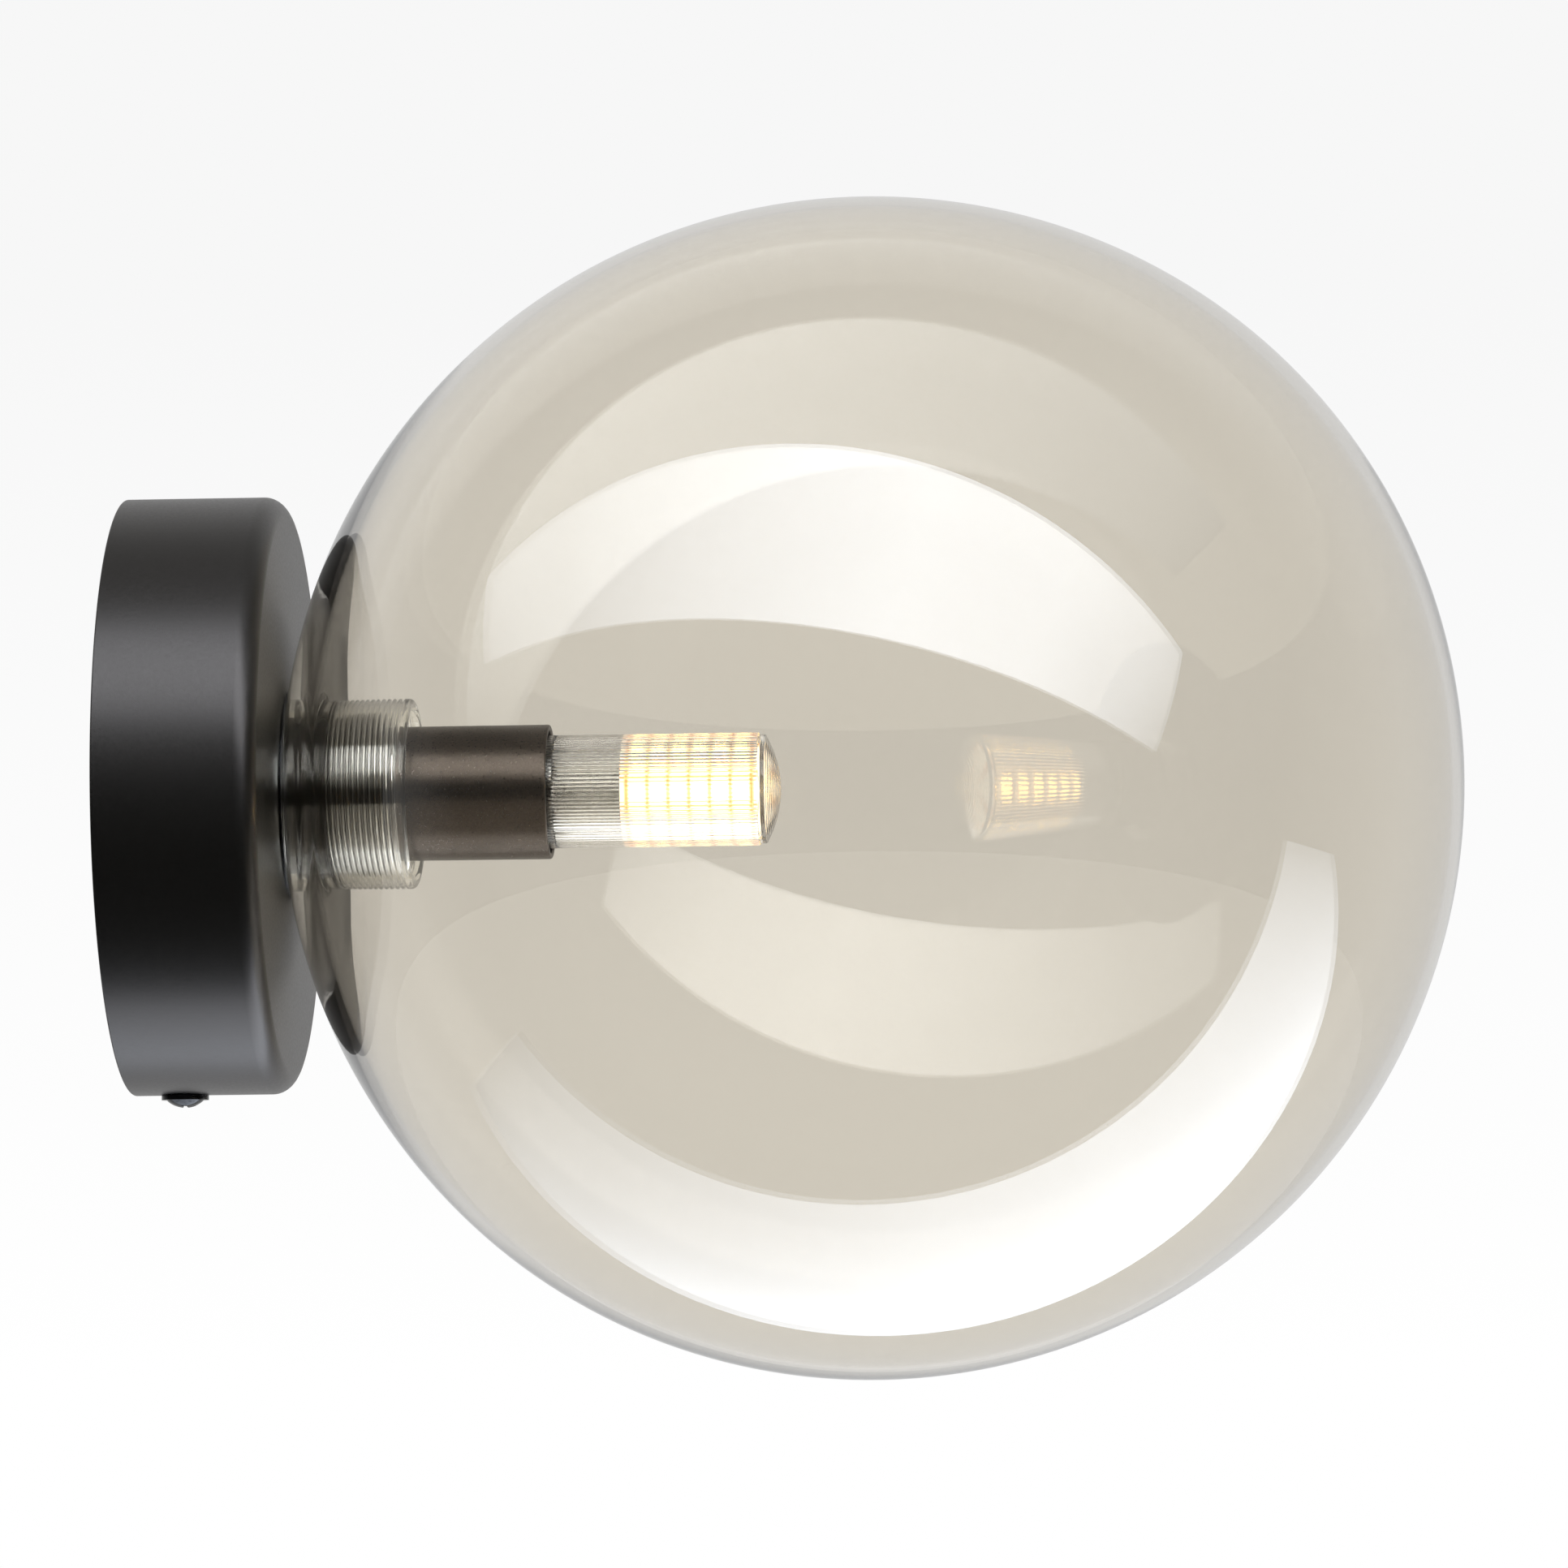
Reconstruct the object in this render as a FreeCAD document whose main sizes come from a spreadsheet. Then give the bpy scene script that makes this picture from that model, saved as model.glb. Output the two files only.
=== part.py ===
"""Globe wall sconce: a black cup on the wall, a plug-in lamp in a black tube, and a smoked glass globe.

The origin is the centre of the wall holes, on the wall. +X points away from the wall, along the
lamp, and +Z is up. Every size is in millimetres.
"""
import FreeCAD, Part

import math
import operator
import os
from types import SimpleNamespace

import Sketcher
from FreeCAD import Placement, Rotation, Vector

SIZES = {
    # the black cup on the wall
    "canopy_diameter": 100.0,
    "canopy_depth": 26.6,
    "canopy_wall": 1.2,
    "canopy_edge_radius": 3.5,
    # the steel strap behind it
    "strap_width": 28.0,
    "strap_thickness": 1.5,
    "strap_bend_radius": 2.0,
    "strap_corner_radius": 3.0,
    "strap_end_gap": 4.8,
    "wall_slot_length": 10.0,
    "wall_slot_width": 4.5,
    "wall_slot_margin": 3.0,
    "ear_width": 14.0,
    "ear_reach": 15.0,
    "ear_gap": 0.8,
    "ear_collar_diameter": 7.0,
    "ear_collar_height": 2.0,
    # the hook that carries the cup's top
    "hook_width": 10.0,
    "hook_reach": 12.0,
    "hook_lip_height": 2.5,
    "hook_top_gap": 1.5,
    "hook_play": 0.2,
    "hook_tab_thickness": 1.0,
    "hook_tab_length": 6.7,
    "hook_tab_clearance": 0.3,
    "hook_tab_angle": 12.0,
    # the screw under the cup
    "lock_screw_place": 8.6,
    "lock_screw_diameter": 4.0,
    "lock_screw_length": 7.5,
    "lock_screw_hole_play": 0.2,
    "lock_flange_diameter": 7.9,
    "lock_flange_thickness": 0.8,
    "lock_dome_diameter": 6.3,
    "lock_dome_height": 1.3,
    "lock_recess_width": 3.6,
    "lock_recess_bar": 0.9,
    "lock_recess_depth": 0.9,
    "tapped_play": 0.05,
    # cable entry and its rubber bush
    "cable_entry_drop": 12.0,
    "cable_entry_diameter": 14.0,
    "grommet_bore": 9.0,
    "grommet_flange": 17.0,
    "grommet_flange_thickness": 1.2,
    # earth screw and ring lug
    "earth_drop": 25.5,
    "earth_screw_diameter": 4.0,
    "earth_head_diameter": 7.6,
    "earth_head_height": 2.4,
    "earth_slot_width": 1.2,
    "earth_slot_depth": 1.2,
    "lug_diameter": 8.0,
    "lug_thickness": 0.8,
    "lug_hole_play": 0.15,
    "lug_barrel_diameter": 3.4,
    "lug_barrel_bore": 2.2,
    "lug_barrel_start": 5.0,
    "lug_barrel_end": 10.0,
    # three-way terminal block
    "block_rise": 17.0,
    "block_length": 16.0,
    "pole_pitch": 10.0,
    "pole_width": 5.6,
    "pole_height": 8.0,
    "pole_axis_height": 4.5,
    "web_height": 2.0,
    "web_length": 8.0,
    "turret_diameter": 5.2,
    "turret_height": 11.0,
    "turret_spacing": 7.4,
    "insert_diameter": 4.6,
    "insert_bore": 3.2,
    "insert_length": 12.0,
    "insert_play": 0.05,
    "clamp_screw_diameter": 2.9,
    "clamp_screw_play": 0.05,
    "clamp_screw_sink": 0.6,
    "block_screw_diameter": 2.5,
    "block_screw_play": 0.1,
    "block_screw_head": 4.0,
    "block_screw_head_height": 1.5,
    # nipple, nuts and washer that hold the fitting to the cup
    "nipple_diameter": 10.0,
    "nipple_bore": 8.2,
    "nipple_play": 0.1,
    "nipple_proud": 1.0,
    "nut_width": 14.0,
    "nut_thickness": 3.0,
    "washer_diameter": 18.0,
    "washer_thickness": 0.8,
    "washer_tooth_count": 8.0,
    "washer_tooth_gap": 2.0,
    # the ring that the glass screws on to
    "carrier_base": 2.0,
    "carrier_wall": 1.65,
    "carrier_thread_start": 8.9,
    "carrier_thread_length": 6.5,
    "thread_depth": 0.8,
    "thread_play": 0.3,
    # the black tube round the socket
    "sleeve_diameter": 22.5,
    "sleeve_wall": 1.0,
    "sleeve_length": 41.6,
    "sleeve_play": 0.1,
    # strap inside the tube that holds the socket
    "cradle_thickness": 0.8,
    "cradle_width": 6.0,
    "cradle_disc": 18.0,
    "cradle_half_height": 9.5,
    "cradle_reach": 15.0,
    "cradle_window_length": 2.2,
    "cradle_window_width": 3.0,
    "cradle_window_place": 11.4,
    "nub_play": 0.1,
    # ceramic socket
    "socket_diameter": 18.8,
    "socket_floor_gap": 1.6,
    "socket_length": 24.0,
    "socket_flat_length": 10.0,
    "socket_recess_depth": 5.0,
    "socket_chamfer": 0.6,
    "socket_play": 0.3,
    "channel_width": 3.8,
    "channel_height": 3.4,
    "channel_depth": 11.6,
    "lead_hole_play": 0.1,
    "contact_thickness": 0.4,
    "contact_width": 3.4,
    "contact_length": 10.6,
    "contact_gap": 0.2,
    # leads
    "lead_diameter": 1.8,
    "lead_core_diameter": 1.0,
    "lead_offset": 2.9,
    "lead_strip": 1.0,
    "lead_terminal_strip": 4.5,
    "lead_terminal_entry": 1.5,
    "lead_arc_share": 0.45,
    "earth_lead_lift": 0.3,
    "earth_lead_bow": 1.5,
    # lamp
    "pin_spacing": 9.0,
    "pin_wire": 0.8,
    "pin_loop_width": 2.0,
    "pin_length": 7.5,
    "foot_width": 15.0,
    "foot_height": 6.4,
    "foot_length": 4.8,
    "foot_corner": 1.0,
    "lamp_diameter": 19.0,
    "lamp_base_length": 6.0,
    "lamp_base_step": 0.4,
    "lamp_spigot_length": 3.0,
    "lamp_spigot_play": 0.1,
    "cover_wall": 0.8,
    "cover_length": 42.8,
    "cover_ring_length": 5.1,
    "cover_end_step": 0.4,
    "cover_end_rise": 2.4,
    "cover_end_band": 1.2,
    "rib_count": 90.0,
    "rib_depth": 0.2,
    "rib_drop": 0.05,
    "rib_root": 0.2,
    "driver_diameter": 14.8,
    "driver_length": 13.3,
    "end_board_thickness": 0.8,
    "led_count": 6.0,
    "led_pitch": 3.47,
    "led_length": 2.8,
    "led_width": 3.5,
    "led_height": 0.7,
    "led_margin": 2.0,
    "led_face_count": 6.0,
    "led_face_turn": 7.0,
    "board_face_distance": 6.6,
    "board_thickness": 0.8,
    "board_edge_play": 0.05,
    # glass
    "gasket_thickness": 0.5,
    "gasket_inset": 0.2,
    "globe_diameter": 197.0,
    "globe_wall": 1.8,
    "neck_wall": 1.9,
    "neck_length": 19.9,
    "neck_flare": 1.7,
}

HEXAGON = 6
RULES = {"+": operator.add, "-": operator.sub, "*": operator.mul, "/": operator.truediv}


class Size:
    """A number together with the formula over the sheet's cells that gives it."""

    def __init__(self, value, formula):
        self.value = value
        self.formula = formula

    def __add__(self, other):
        return joined(self, "+", other)

    def __radd__(self, other):
        return joined(other, "+", self)

    def __sub__(self, other):
        return joined(self, "-", other)

    def __rsub__(self, other):
        return joined(other, "-", self)

    def __mul__(self, other):
        return joined(self, "*", other)

    def __rmul__(self, other):
        return joined(other, "*", self)

    def __truediv__(self, other):
        return joined(self, "/", other)

    def __rtruediv__(self, other):
        return joined(other, "/", self)

    def __neg__(self):
        return joined(0, "-", self)


def sized(number):
    """A plain number as a Size."""
    if isinstance(number, Size):
        return number
    return Size(float(number), "(" + repr(float(number)) + ")")


def joined(first, sign, second):
    """Two sizes joined by a sign, as one size."""
    first = sized(first)
    second = sized(second)
    formula = "(" + first.formula + " " + sign + " " + second.formula + ")"
    return Size(RULES[sign](first.value, second.value), formula)


def root(size):
    """The square root of a size."""
    return Size(math.sqrt(size.value), "sqrt(" + size.formula + ")")


def cosine(angle):
    """The cosine of an angle in degrees."""
    return Size(math.cos(math.radians(angle.value)), "cos(" + angle.formula + ")")


def write_sheet(doc):
    """Puts the sizes into the document's sheet and hands them back by name."""
    sheet = doc.addObject("Spreadsheet::Sheet", "Sizes")
    named = {}
    for row, (name, value) in enumerate(SIZES.items(), start=1):
        sheet.set("A%d" % row, name.replace("_", " "))
        sheet.set("B%d" % row, str(value))
        sheet.setAlias("B%d" % row, name)
        named[name] = Size(value, "Sizes." + name)
    doc.recompute()
    return SimpleNamespace(**named)


doc = FreeCAD.newDocument("globe_wall_sconce")
s = write_sheet(doc)
SUBPARTS = []

# ---------------------------------------------------------------- places worked out from the sizes
canopy_radius = s.canopy_diameter / 2
canopy_inner_radius = canopy_radius - s.canopy_wall
canopy_inside = s.canopy_depth - s.canopy_wall

strap_half_width = s.strap_width / 2
strap_half_length = canopy_inner_radius - s.strap_end_gap
slot_middle = strap_half_length - s.wall_slot_margin - s.wall_slot_length / 2
ear_face = canopy_inner_radius - s.ear_gap
hook_top = canopy_inner_radius - s.hook_top_gap
hook_bar_top = hook_top - s.hook_lip_height
hook_lip_back = s.hook_reach - s.strap_thickness

nipple_hole_radius = s.nipple_diameter / 2 + s.nipple_play
nipple_back = canopy_inside - s.washer_thickness - s.nut_thickness - s.nipple_proud
carrier_top = s.canopy_depth + s.carrier_base
sleeve_floor = carrier_top + s.sleeve_wall
cradle_floor = sleeve_floor + s.cradle_thickness
sleeve_nut_end = cradle_floor + s.nut_thickness
nipple_front = sleeve_nut_end + s.nipple_proud
sleeve_end = carrier_top + s.sleeve_length
sleeve_radius = s.sleeve_diameter / 2
sleeve_inner_radius = sleeve_radius - s.sleeve_wall

socket_back = nipple_front + s.socket_floor_gap
socket_front = socket_back + s.socket_length
socket_flat = s.cradle_half_height - s.cradle_thickness - s.nub_play
recess_floor = socket_front - s.socket_recess_depth
channel_floor = recess_floor - s.channel_depth
pin_place = s.pin_spacing / 2

carrier_bore_radius = sleeve_radius + s.sleeve_play
carrier_radius = carrier_bore_radius + s.carrier_wall
carrier_thread_radius = carrier_radius + s.thread_depth
neck_bore_radius = carrier_thread_radius + s.thread_play
neck_radius = neck_bore_radius + s.neck_wall
globe_radius = s.globe_diameter / 2
globe_inner_radius = globe_radius - s.globe_wall
glass_foot = s.canopy_depth + s.gasket_thickness
neck_end = glass_foot + s.neck_length
seam_radius = neck_radius + s.neck_flare
globe_middle = glass_foot + root(globe_radius * globe_radius - seam_radius * seam_radius)
seam_inside = globe_middle - root(globe_inner_radius * globe_inner_radius - seam_radius * seam_radius)

lamp_radius = s.lamp_diameter / 2
cover_inner_radius = lamp_radius - s.cover_wall
cover_back = socket_front + s.lamp_base_length
cover_tip = cover_back + s.cover_length
spigot_end = cover_back + s.lamp_spigot_length
driver_end = spigot_end + s.driver_length
boards_back = driver_end + s.end_board_thickness
boards_length = s.led_pitch * (s.led_count - 1) + s.led_margin * 2
boards_front = boards_back + boards_length

block_axis = s.strap_thickness + s.pole_axis_height
block_low = s.block_rise - s.block_length / 2


# ---------------------------------------------------------------- drawing and feature helpers
def keep(feature, name):
    """Marks an object as the finished sub-part of this name."""
    feature.Label = name
    SUBPARTS.append(feature)
    return feature


def new_body(name):
    """A body that is a sub-part of its own."""
    return keep(doc.addObject("PartDesign::Body", name), name)


def plane_sketch(body, role, lift=None, shift=None):
    """A sketch on one of the body's origin planes, lifted off it and shifted along its first axis."""
    sketch = body.newObject("Sketcher::SketchObject", body.Name + "_sketch")
    plane = [item for item in body.Origin.OriginFeatures if item.Role == role][0]
    sketch.AttachmentSupport = [(plane, "")]
    sketch.MapMode = "FlatFace"
    if lift is not None:
        sketch.setExpression("AttachmentOffset.Base.z", sized(lift).formula)
    if shift is not None:
        sketch.setExpression("AttachmentOffset.Base.x", sized(shift).formula)
    return sketch


def bind(sketch, constraint, size):
    """Adds a constraint and ties its value to a size."""
    index = sketch.addConstraint(constraint)
    sketch.setExpression("Constraints[%d]" % index, size.formula)


def arc_between(start, end, radius):
    """The arc from start to end. A positive radius turns left, a negative one right."""
    chord = end - start
    middle = (start + end) * 0.5
    reach = math.sqrt(max(radius * radius - chord.Length * chord.Length / 4, 0.0))
    left = Vector(-chord.y, chord.x, 0).normalize()
    centre = middle + left * (reach if radius > 0 else -reach)
    first = math.atan2(start.y - centre.y, start.x - centre.x)
    last = math.atan2(end.y - centre.y, end.x - centre.x)
    if radius < 0:
        first, last = last, first
    circle = Part.Circle(centre, Vector(0, 0, 1), abs(radius))
    return Part.ArcOfCircle(circle, first, last)


def draw_outline(sketch, corners):
    """Closes an outline. A corner's third value is the radius of the arc to the next corner."""
    sizes = [[sized(value) for value in corner] for corner in corners]
    points = [Vector(corner[0].value, corner[1].value, 0) for corner in sizes]
    ends = []
    for index, corner in enumerate(sizes):
        start = points[index]
        end = points[(index + 1) % len(points)]
        if len(corner) == 2:
            piece = sketch.addGeometry(Part.LineSegment(start, end))
            ends.append((piece, 1, 2))
            continue
        radius = corner[2]
        piece = sketch.addGeometry(arc_between(start, end, radius.value))
        turned = radius.value < 0
        ends.append((piece, 2, 1) if turned else (piece, 1, 2))
        bind(sketch, Sketcher.Constraint("Radius", piece, abs(radius.value)), -radius if turned else radius)
    for index, (piece, start, _) in enumerate(ends):
        before, _, before_end = ends[index - 1]
        sketch.addConstraint(Sketcher.Constraint("Coincident", before, before_end, piece, start))
        across, up = sizes[index][:2]
        bind(sketch, Sketcher.Constraint("DistanceX", -1, 1, piece, start, across.value), across)
        bind(sketch, Sketcher.Constraint("DistanceY", -1, 1, piece, start, up.value), up)


def draw_circle(sketch, across, up, radius):
    """A full circle in a sketch."""
    across, up, radius = sized(across), sized(up), sized(radius)
    centre = Vector(across.value, up.value, 0)
    piece = sketch.addGeometry(Part.Circle(centre, Vector(0, 0, 1), radius.value))
    bind(sketch, Sketcher.Constraint("Radius", piece, radius.value), radius)
    bind(sketch, Sketcher.Constraint("DistanceX", -1, 1, piece, 3, across.value), across)
    bind(sketch, Sketcher.Constraint("DistanceY", -1, 1, piece, 3, up.value), up)


def rectangle(left, low, right, high):
    """The corners of a rectangle."""
    return [(left, low), (right, low), (right, high), (left, high)]


def rounded(left, low, right, high, radius):
    """The corners of a rectangle with rounded corners."""
    return [
        (left + radius, low), (right - radius, low, radius),
        (right, low + radius), (right, high - radius, radius),
        (right - radius, high), (left + radius, high, radius),
        (left, high - radius), (left, low + radius, radius),
    ]


def upright_slot(across, up, length, width):
    """The outline of a slot with round ends that runs upwards."""
    half = width / 2
    low = up - length / 2 + half
    high = up + length / 2 - half
    return [
        (across - half, low, half), (across, low - half, half), (across + half, low),
        (across + half, high, half), (across, high + half, half), (across - half, high),
    ]


def body_of(sketch):
    """The body that a sketch belongs to."""
    return sketch.getParentGeoFeatureGroup()


def pad(sketch, length, symmetric=False, backwards=False):
    """Thickens a sketch into a plate or bar."""
    feature = body_of(sketch).newObject("PartDesign::Pad", sketch.Name + "_pad")
    feature.Profile = sketch
    feature.setExpression("Length", sized(length).formula)
    feature.SideType = "Symmetric" if symmetric else "One side"
    feature.Reversed = backwards
    return feature


def pocket(sketch, length, symmetric=False, backwards=False):
    """Cuts a sketch into its body, and makes sure that it did cut."""
    body = body_of(sketch)
    doc.recompute()
    before = body.Shape.Volume
    feature = body.newObject("PartDesign::Pocket", sketch.Name + "_pocket")
    feature.Profile = sketch
    feature.setExpression("Length", sized(length).formula)
    feature.SideType = "Symmetric" if symmetric else "One side"
    feature.Reversed = backwards
    doc.recompute()
    if body.Shape.Volume >= before - 1e-6:
        raise RuntimeError(feature.Label + " cuts nothing")
    return feature


def revolve(sketch, axis="H_Axis", angle=360.0):
    """Turns a sketch about one of its own axes."""
    feature = body_of(sketch).newObject("PartDesign::Revolution", sketch.Name + "_turned")
    feature.Profile = sketch
    feature.ReferenceAxis = (sketch, [axis])
    feature.setExpression("Angle", sized(angle).formula)
    feature.Midplane = angle != 360.0
    return feature


def turned(body, corners):
    """Turns an outline about the lamp's axis. Each corner is its distance from the wall and its radius."""
    sketch = plane_sketch(body, "XZ_Plane")
    draw_outline(sketch, corners)
    revolve(sketch)


def turned_body(name, corners):
    """A sub-part turned about the lamp's axis from its outline."""
    body = new_body(name)
    turned(body, corners)
    return body


def cylinder(name, radius, back, length, across=0, up=0, along="x"):
    """A round bar along one axis, its end face's centre at the given place."""
    bar = doc.addObject("Part::Cylinder", name)
    bar.setExpression("Radius", sized(radius).formula)
    bar.setExpression("Height", sized(length).formula)
    turns = {"x": Rotation(Vector(0, 1, 0), 90), "z": Rotation()}
    bar.Placement = Placement(Vector(), turns[along])
    for axis, place in zip("xyz", (back, across, up)):
        bar.setExpression("Placement.Base." + axis, sized(place).formula)
    return bar


def cut(name, base, *tools):
    """One shape with others cut out of it."""
    for number, tool in enumerate(tools):
        step = doc.addObject("Part::Cut", "%s_cut_%d" % (name, number))
        step.Base = base
        step.Tool = tool
        base = step
    return base


def group(name, members):
    """Separate identical solids that share one sub-part."""
    compound = doc.addObject("Part::Compound", name)
    compound.Links = members
    return keep(compound, name)


def ring(name, back, length, outer_radius, inner_radius):
    """A plain ring about the lamp's axis."""
    solid = cylinder(name + "_outside", outer_radius, back, length)
    hole = cylinder(name + "_hole", inner_radius, back - length, length * 3)
    return cut(name, solid, hole)


def shaped(name, shape):
    """A sub-part whose shape is worked out directly."""
    feature = doc.addObject("Part::Feature", name)
    feature.Shape = shape
    return keep(feature, name)


# ---------------------------------------------------------------- wall side
def make_wall_bracket():
    """Folded steel strap: plate with slots, an ear below for the screw, and a lipped hook above."""
    body = new_body("wall_bracket")
    plate = plane_sketch(body, "YZ_Plane")
    draw_outline(plate, rounded(-strap_half_width, -strap_half_length, strap_half_width,
                                strap_half_length, s.strap_corner_radius))
    pad(plate, s.strap_thickness)

    ear = plane_sketch(body, "XZ_Plane")
    root_height = strap_half_length - s.strap_thickness
    draw_outline(ear, [
        (0, -root_height), (0, -(ear_face - s.strap_bend_radius), s.strap_bend_radius),
        (s.strap_bend_radius, -ear_face), (s.ear_reach, -ear_face),
        (s.ear_reach, -(ear_face - s.strap_thickness)),
        (s.strap_thickness, -(ear_face - s.strap_thickness)), (s.strap_thickness, -root_height),
    ])
    pad(ear, s.ear_width, symmetric=True)

    hook = plane_sketch(body, "XZ_Plane")
    bar_low = hook_bar_top - s.strap_thickness
    hook_root = bar_low - s.strap_bend_radius
    draw_outline(hook, [
        (0, hook_root), (s.strap_thickness, hook_root), (s.strap_thickness, bar_low),
        (s.hook_reach - s.strap_bend_radius, bar_low, s.strap_bend_radius),
        (s.hook_reach, bar_low + s.strap_bend_radius), (s.hook_reach, hook_top),
        (hook_lip_back, hook_top), (hook_lip_back, hook_bar_top),
        (s.strap_bend_radius, hook_bar_top, s.strap_bend_radius),
        (0, hook_bar_top - s.strap_bend_radius),
    ])
    pad(hook, s.hook_width, symmetric=True)

    collar = plane_sketch(body, "XY_Plane", lift=-(ear_face - s.strap_thickness))
    draw_circle(collar, s.lock_screw_place, 0, s.ear_collar_diameter / 2)
    pad(collar, s.ear_collar_height)

    holes = plane_sketch(body, "YZ_Plane")
    draw_outline(holes, upright_slot(sized(0), slot_middle, s.wall_slot_length, s.wall_slot_width))
    draw_outline(holes, upright_slot(sized(0), -slot_middle, s.wall_slot_length, s.wall_slot_width))
    draw_circle(holes, 0, -s.cable_entry_drop, s.cable_entry_diameter / 2)
    draw_circle(holes, 0, -s.earth_drop, s.earth_screw_diameter / 2 + s.tapped_play)
    for side in (-1, 1):
        place = side * s.pole_pitch / 2
        draw_circle(holes, place, s.block_rise, s.block_screw_diameter / 2 + s.tapped_play)
    pocket(holes, s.strap_thickness, backwards=True)

    tapped = plane_sketch(body, "XY_Plane", lift=-canopy_radius)
    draw_circle(tapped, s.lock_screw_place, 0, s.lock_screw_diameter / 2 + s.tapped_play)
    pocket(tapped, canopy_radius - ear_face + s.strap_thickness + s.ear_collar_height, backwards=True)


def make_cable_grommet():
    """Rubber bush pushed into the strap's cable hole from the front."""
    body = new_body("cable_grommet")
    stem = plane_sketch(body, "YZ_Plane")
    draw_circle(stem, 0, -s.cable_entry_drop, s.cable_entry_diameter / 2)
    pad(stem, s.strap_thickness)
    flange = plane_sketch(body, "YZ_Plane", lift=s.strap_thickness)
    draw_circle(flange, 0, -s.cable_entry_drop, s.grommet_flange / 2)
    pad(flange, s.grommet_flange_thickness)
    bore = plane_sketch(body, "YZ_Plane")
    draw_circle(bore, 0, -s.cable_entry_drop, s.grommet_bore / 2)
    pocket(bore, s.strap_thickness + s.grommet_flange_thickness, backwards=True)


def make_earth_parts():
    """Earth screw in the strap and the ring lug under its head."""
    lug_face = s.strap_thickness + s.lug_thickness
    screw = new_body("earth_screw")
    profile = plane_sketch(screw, "YZ_Plane")
    draw_circle(profile, 0, -s.earth_drop, s.earth_screw_diameter / 2)
    pad(profile, lug_face)
    head = plane_sketch(screw, "YZ_Plane", lift=lug_face)
    draw_circle(head, 0, -s.earth_drop, s.earth_head_diameter / 2)
    pad(head, s.earth_head_height)
    slot = plane_sketch(screw, "YZ_Plane", lift=lug_face + s.earth_head_height)
    half_slot = s.earth_slot_width / 2
    draw_outline(slot, rectangle(-s.earth_head_diameter, -s.earth_drop - half_slot,
                                 s.earth_head_diameter, -s.earth_drop + half_slot))
    pocket(slot, s.earth_slot_depth)

    lug = new_body("earth_lug")
    ring_sketch = plane_sketch(lug, "YZ_Plane", lift=s.strap_thickness)
    draw_circle(ring_sketch, 0, -s.earth_drop, s.lug_diameter / 2)
    pad(ring_sketch, s.lug_thickness)
    tongue = plane_sketch(lug, "YZ_Plane", lift=s.strap_thickness)
    half_tongue = s.lug_barrel_bore / 2
    draw_outline(tongue, rectangle(0, -s.earth_drop - half_tongue,
                                   s.lug_barrel_end, -s.earth_drop + half_tongue))
    pad(tongue, s.lug_thickness)
    barrel = plane_sketch(lug, "XZ_Plane", lift=-s.lug_barrel_end)
    barrel_axis = s.strap_thickness + s.lug_barrel_diameter / 2
    draw_circle(barrel, barrel_axis, -s.earth_drop, s.lug_barrel_diameter / 2)
    pad(barrel, s.lug_barrel_end - s.lug_barrel_start)
    crimp = plane_sketch(lug, "XZ_Plane", lift=-s.lug_barrel_end)
    draw_circle(crimp, barrel_axis, -s.earth_drop, s.lug_barrel_bore / 2)
    pocket(crimp, s.lug_barrel_end - s.lug_barrel_start, backwards=True)
    hole = plane_sketch(lug, "YZ_Plane")
    draw_circle(hole, 0, -s.earth_drop, s.earth_screw_diameter / 2 + s.lug_hole_play)
    pocket(hole, lug_face, backwards=True)


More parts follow.
